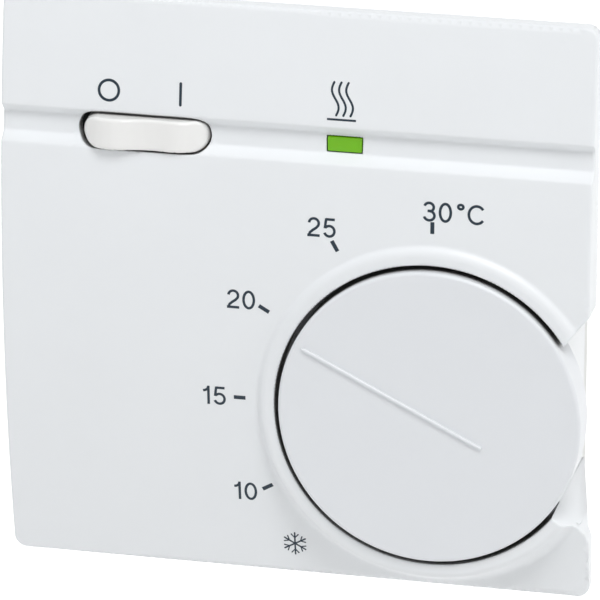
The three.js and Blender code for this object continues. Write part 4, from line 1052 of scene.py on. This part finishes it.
def buildSpring():
    look = springLook
    spring = runTree("spring_wire", springTree(), {
        "Turns": look["turns"], "Coil radius": look["radius"] * mm, "Length": look["length"] * mm,
        "Wire radius": look["wire"] * mm, "Material": springSteel})
    foot = Matrix.Translation(Vector((0, rockerLook["pivotY"] + look["behindAxle"], 0)) * mm)
    spring.data.transform(rockerPlace() @ foot @ Matrix.Rotation(math.radians(-90), 4, "X"))
    faceOutward(spring.data)
    smooth(spring, 40, weighted=False)
    return finishPiece(spring, springSteel, "rocker", ["rocker_spring"])


buildSpring()

# The lens and the pieces inside keep their shape and get rounded edges: body, finish and edge radius in mm.
pieces = {
    "indicator_lens": ("cover", greenAcrylic, 0.12), "cover_screw": ("cover", zincSteel, 0.08),
    "base_plate": ("base", mattAbs, 0.1), "limit_ring_cold": ("cold_ring", bluePolypropylene, 0.1),
    "limit_ring_warm": ("warm_ring", redPolypropylene, 0.1), "setting_spindle": ("spindle", plainNylon, 0.08),
    "spindle_washer": ("base", springSteel, 0.03), "rocker_plunger": ("rocker", plainNylon, 0.05),
    "switch_housing": ("base", glassNylon, 0.08), "switch_contact_bridge": ("bridge", stampedBrass, 0.03),
    "switch_contact_on": ("base", stampedBrass, 0.03), "switch_contact_centre": ("base", stampedBrass, 0.03),
    "indicator_lamp": ("base", lampEpoxy, 0.05), "setting_lever": ("lever", plainNylon, 0.08),
    "lever_pivot_pin": ("base", springSteel, 0.08), "bimetal_strip": ("bimetal", rolledBimetal, 0.03),
    "bimetal_rivet_1": ("lever", headedAluminium, 0.06), "bimetal_rivet_2": ("lever", headedAluminium, 0.06),
    "moving_contact": ("bimetal", contactSilver, 0.06), "fixed_contact_bracket": ("base", stampedBrass, 0.04),
    "fixed_contact_screw": ("base", stampedBrass, 0.06), "contact_magnet": ("base", groundFerrite, 0.08),
    "lever_leaf_spring": ("base", stampedBrass, 0.03), "feedback_resistor": ("base", blueLacquer, 0.04),
    "circuit_board": ("base", phenolicPaper, 0.05), "board_screw_1": ("base", zincSteel, 0.06),
    "board_screw_2": ("base", zincSteel, 0.06), "lamp_resistor": ("base", tanLacquer, 0.04),
    "arc_capacitor": ("base", yellowEpoxy, 0.2), "terminal_block": ("base", melamine, 0.12),
    "switch_lead": ("base", brownPvc, 0.0),
}
for i in range(1, 6):
    pieces[f"terminal_screw_{i}"] = ("base", zincSteel, 0.07)
    pieces[f"terminal_clamp_{i}"] = ("base", stampedBrass, 0.05)
for node, (body, material, edge) in pieces.items():
    piece = cadCopy(node, node + "_piece")
    if edge:
        soften(piece, edge)
    else:
        smooth(piece, 40)
    finishPiece(piece, material, body, [node])
print("inside pieces ready")

# Solder joints on the back of the circuit board, in mm. The legs stand at this share of a part's length.
solderLook = {"foot": 0.85, "tip": 0.22, "height": 0.7, "legs": 0.42, "margin": 1.2, "lift": 0.01}


def solderTree():
    tree, given, result = groupTree("solder_joints", [
        ("Foot radius", "NodeSocketFloat", 0.0), ("Tip radius", "NodeSocketFloat", 0.0),
        ("Height", "NodeSocketFloat", 0.0), ("Material", "NodeSocketMaterial", None)])
    blob = addNode(tree, "GeometryNodeMeshCone", {
        "Vertices": 20, "Side Segments": 4, "Radius Top": given.outputs["Tip radius"],
        "Radius Bottom": given.outputs["Foot radius"], "Depth": given.outputs["Height"]})
    blobs = addNode(tree, "GeometryNodeInstanceOnPoints", {
        "Points": given.outputs["Geometry"], "Instance": blob.outputs[0],
        "Rotation": (math.radians(-90), 0, 0)})
    closeTree(tree, blobs.outputs[0], result, given.outputs["Material"])
    return tree


def solderSpots():
    boardLow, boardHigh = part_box("circuit_board")
    back, margin = boardHigh.y - solderLook["lift"] * mm, solderLook["margin"] * mm
    spots = []
    for node in ("lamp_resistor", "feedback_resistor", "arc_capacitor", "switch_contact_on",
                 "switch_contact_centre"):
        low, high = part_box(node)
        middle, size = (low + high) / 2, high - low
        legs = (size.x, 0) if size.x > size.z else (0, size.z)
        for side in (-solderLook["legs"], solderLook["legs"]):
            spots.append((middle.x + side * legs[0], back, middle.z + side * legs[1]))
    return [(x, y, z) for x, y, z in spots if boardLow.x + margin < x < boardHigh.x - margin
            and boardLow.z + margin < z < boardHigh.z - margin]


def buildSolder():
    look = solderLook
    spots = bpy.data.meshes.new("solder_joints")
    spots.from_pydata(solderSpots(), [], [])
    solder = runTree("solder_joints", solderTree(), {
        "Foot radius": look["foot"] * mm, "Tip radius": look["tip"] * mm, "Height": look["height"] * mm,
        "Material": solderTin}, spots)
    faceOutward(solder.data)
    smooth(solder, 60, weighted=False)
    return finishPiece(solder, solderTin, "base", [])


buildSolder()
print("solder joints ready")

# The room, in metres and watts: a floor that bends up into a wall, its own glow, and the soft light.
studio = {
    "floorDrop": -0.30, "wall": 2.6, "bend": 0.6, "side": 6.0, "top": 4.0, "world": 0.30, "paper": 0.22,
    "glow": 0.62, "glowStart": (0.15, 0.5), "glowEnd": (1.4, 2.4),
}
# Each light: place, width and height, power and colour.
lights = {
    "key_light": ((0.24, -0.42, 0.72), (0.35, 0.35), 4.3, "#fefeff"),
    "fill_light": ((-0.50, -0.38, 0.34), (0.22, 0.5), 0.9, "#fbfcff"),
    "rim_light": ((0.55, -0.10, 0.15), (0.3, 0.5), 0.5, "#ffffff"),
}


def stageLine():
    # from the front edge of the floor to the top of the wall
    drop, bend, start = studio["floorDrop"], studio["bend"], studio["wall"] - studio["bend"]
    turns = np.radians(np.linspace(0, 90, 16))[1:]
    line = [(-studio["side"], drop), (start, drop)]
    line += [(start + bend * math.sin(t), drop + bend * (1 - math.cos(t))) for t in turns]
    return line + [(studio["wall"], studio["top"])]


def stagePaper():
    # lit from below over the stretch behind the piece, and plain in front of it
    material = surface("floor_paper", "#fbfbfb", 0.8, shade=0.005, patch=200, grain=2, height=0.01)
    tree = material.node_tree
    shader = next(n for n in tree.nodes if n.type == "BSDF_PRINCIPLED")
    where = next(n for n in tree.nodes if n.type == "TEX_COORD").outputs["Object"]
    along = addNode(tree, "ShaderNodeSeparateXYZ", {0: where}).outputs["Y"]
    (riseFrom, riseTo), (fallFrom, fallTo) = studio["glowStart"], studio["glowEnd"]
    rise = addNode(tree, "ShaderNodeMapRange", {"Value": along, "From Min": riseFrom, "From Max": riseTo},
                   interpolation_type="SMOOTHSTEP")
    fall = addNode(tree, "ShaderNodeMapRange", {
        "Value": along, "From Min": fallFrom, "From Max": fallTo, "To Min": 1.0, "To Max": 0.2},
        interpolation_type="SMOOTHSTEP")
    share = addNode(tree, "ShaderNodeMath", {0: rise.outputs[0], 1: fall.outputs[0]}, operation="MULTIPLY")
    strength = addNode(tree, "ShaderNodeMath", {0: share.outputs[0], 1: studio["glow"], 2: studio["paper"]},
                       operation="MULTIPLY_ADD")
    shader.inputs["Emission Color"].default_value = (1, 1, 1, 1)
    tree.links.new(strength.outputs[0], shader.inputs["Emission Strength"])
    return material


def buildStage():
    line, side = stageLine(), studio["side"]
    points = [(x, y, z) for y, z in line for x in (-side, side)]
    faces = [(2 * i, 2 * i + 1, 2 * i + 3, 2 * i + 2) for i in range(len(line) - 1)]
    mesh = bpy.data.meshes.new("floor")
    mesh.from_pydata(points, [], faces)
    mesh.shade_smooth()
    mesh.materials.append(stagePaper())
    newObject("floor", mesh)


def areaLight(name, place, size, power, colour):
    lamp = bpy.data.lights.new(name, "AREA")
    lamp.shape = "RECTANGLE"
    lamp.size, lamp.size_y = size
    lamp.energy = power
    lamp.color = linearFromHex(colour)[:3]
    light = newObject(name, lamp)
    light.location = place
    light.rotation_euler = (-Vector(place)).to_track_quat("-Z", "Y").to_euler()


buildStage()
for name, settings in lights.items():
    areaLight(name, *settings)
world = bpy.data.worlds.new("soft_light")
world.use_nodes = True
world.node_tree.nodes["Background"].inputs["Color"].default_value = (1, 1, 1, 1)
world.node_tree.nodes["Background"].inputs["Strength"].default_value = studio["world"]
bpy.context.scene.world = world
bpy.context.scene.view_settings.view_transform = "Standard"
print("room ready")

# The camera: turns in degrees, distance in metres, target and lens in mm.
view = {"azimuth": 13.16, "height": 20.0, "distance": 0.678, "target": (1.05, -23.7, 0.75), "lens": 327.5}
azimuth, height = math.radians(view["azimuth"]), math.radians(view["height"])
target = Vector(view["target"]) * mm
away = Vector((math.sin(azimuth) * math.cos(height), -math.cos(azimuth) * math.cos(height), math.sin(height)))
cameraData = bpy.data.cameras.new("camera")
cameraData.lens = view["lens"]
cameraData.sensor_width = 36
cameraData.clip_start, cameraData.clip_end = 0.05, 20
camera = newObject("camera", cameraData)
camera.location = target + away * view["distance"]
camera.rotation_euler = (-away).to_track_quat("-Z", "Y").to_euler()
bpy.context.scene.camera = camera
print("camera ready")
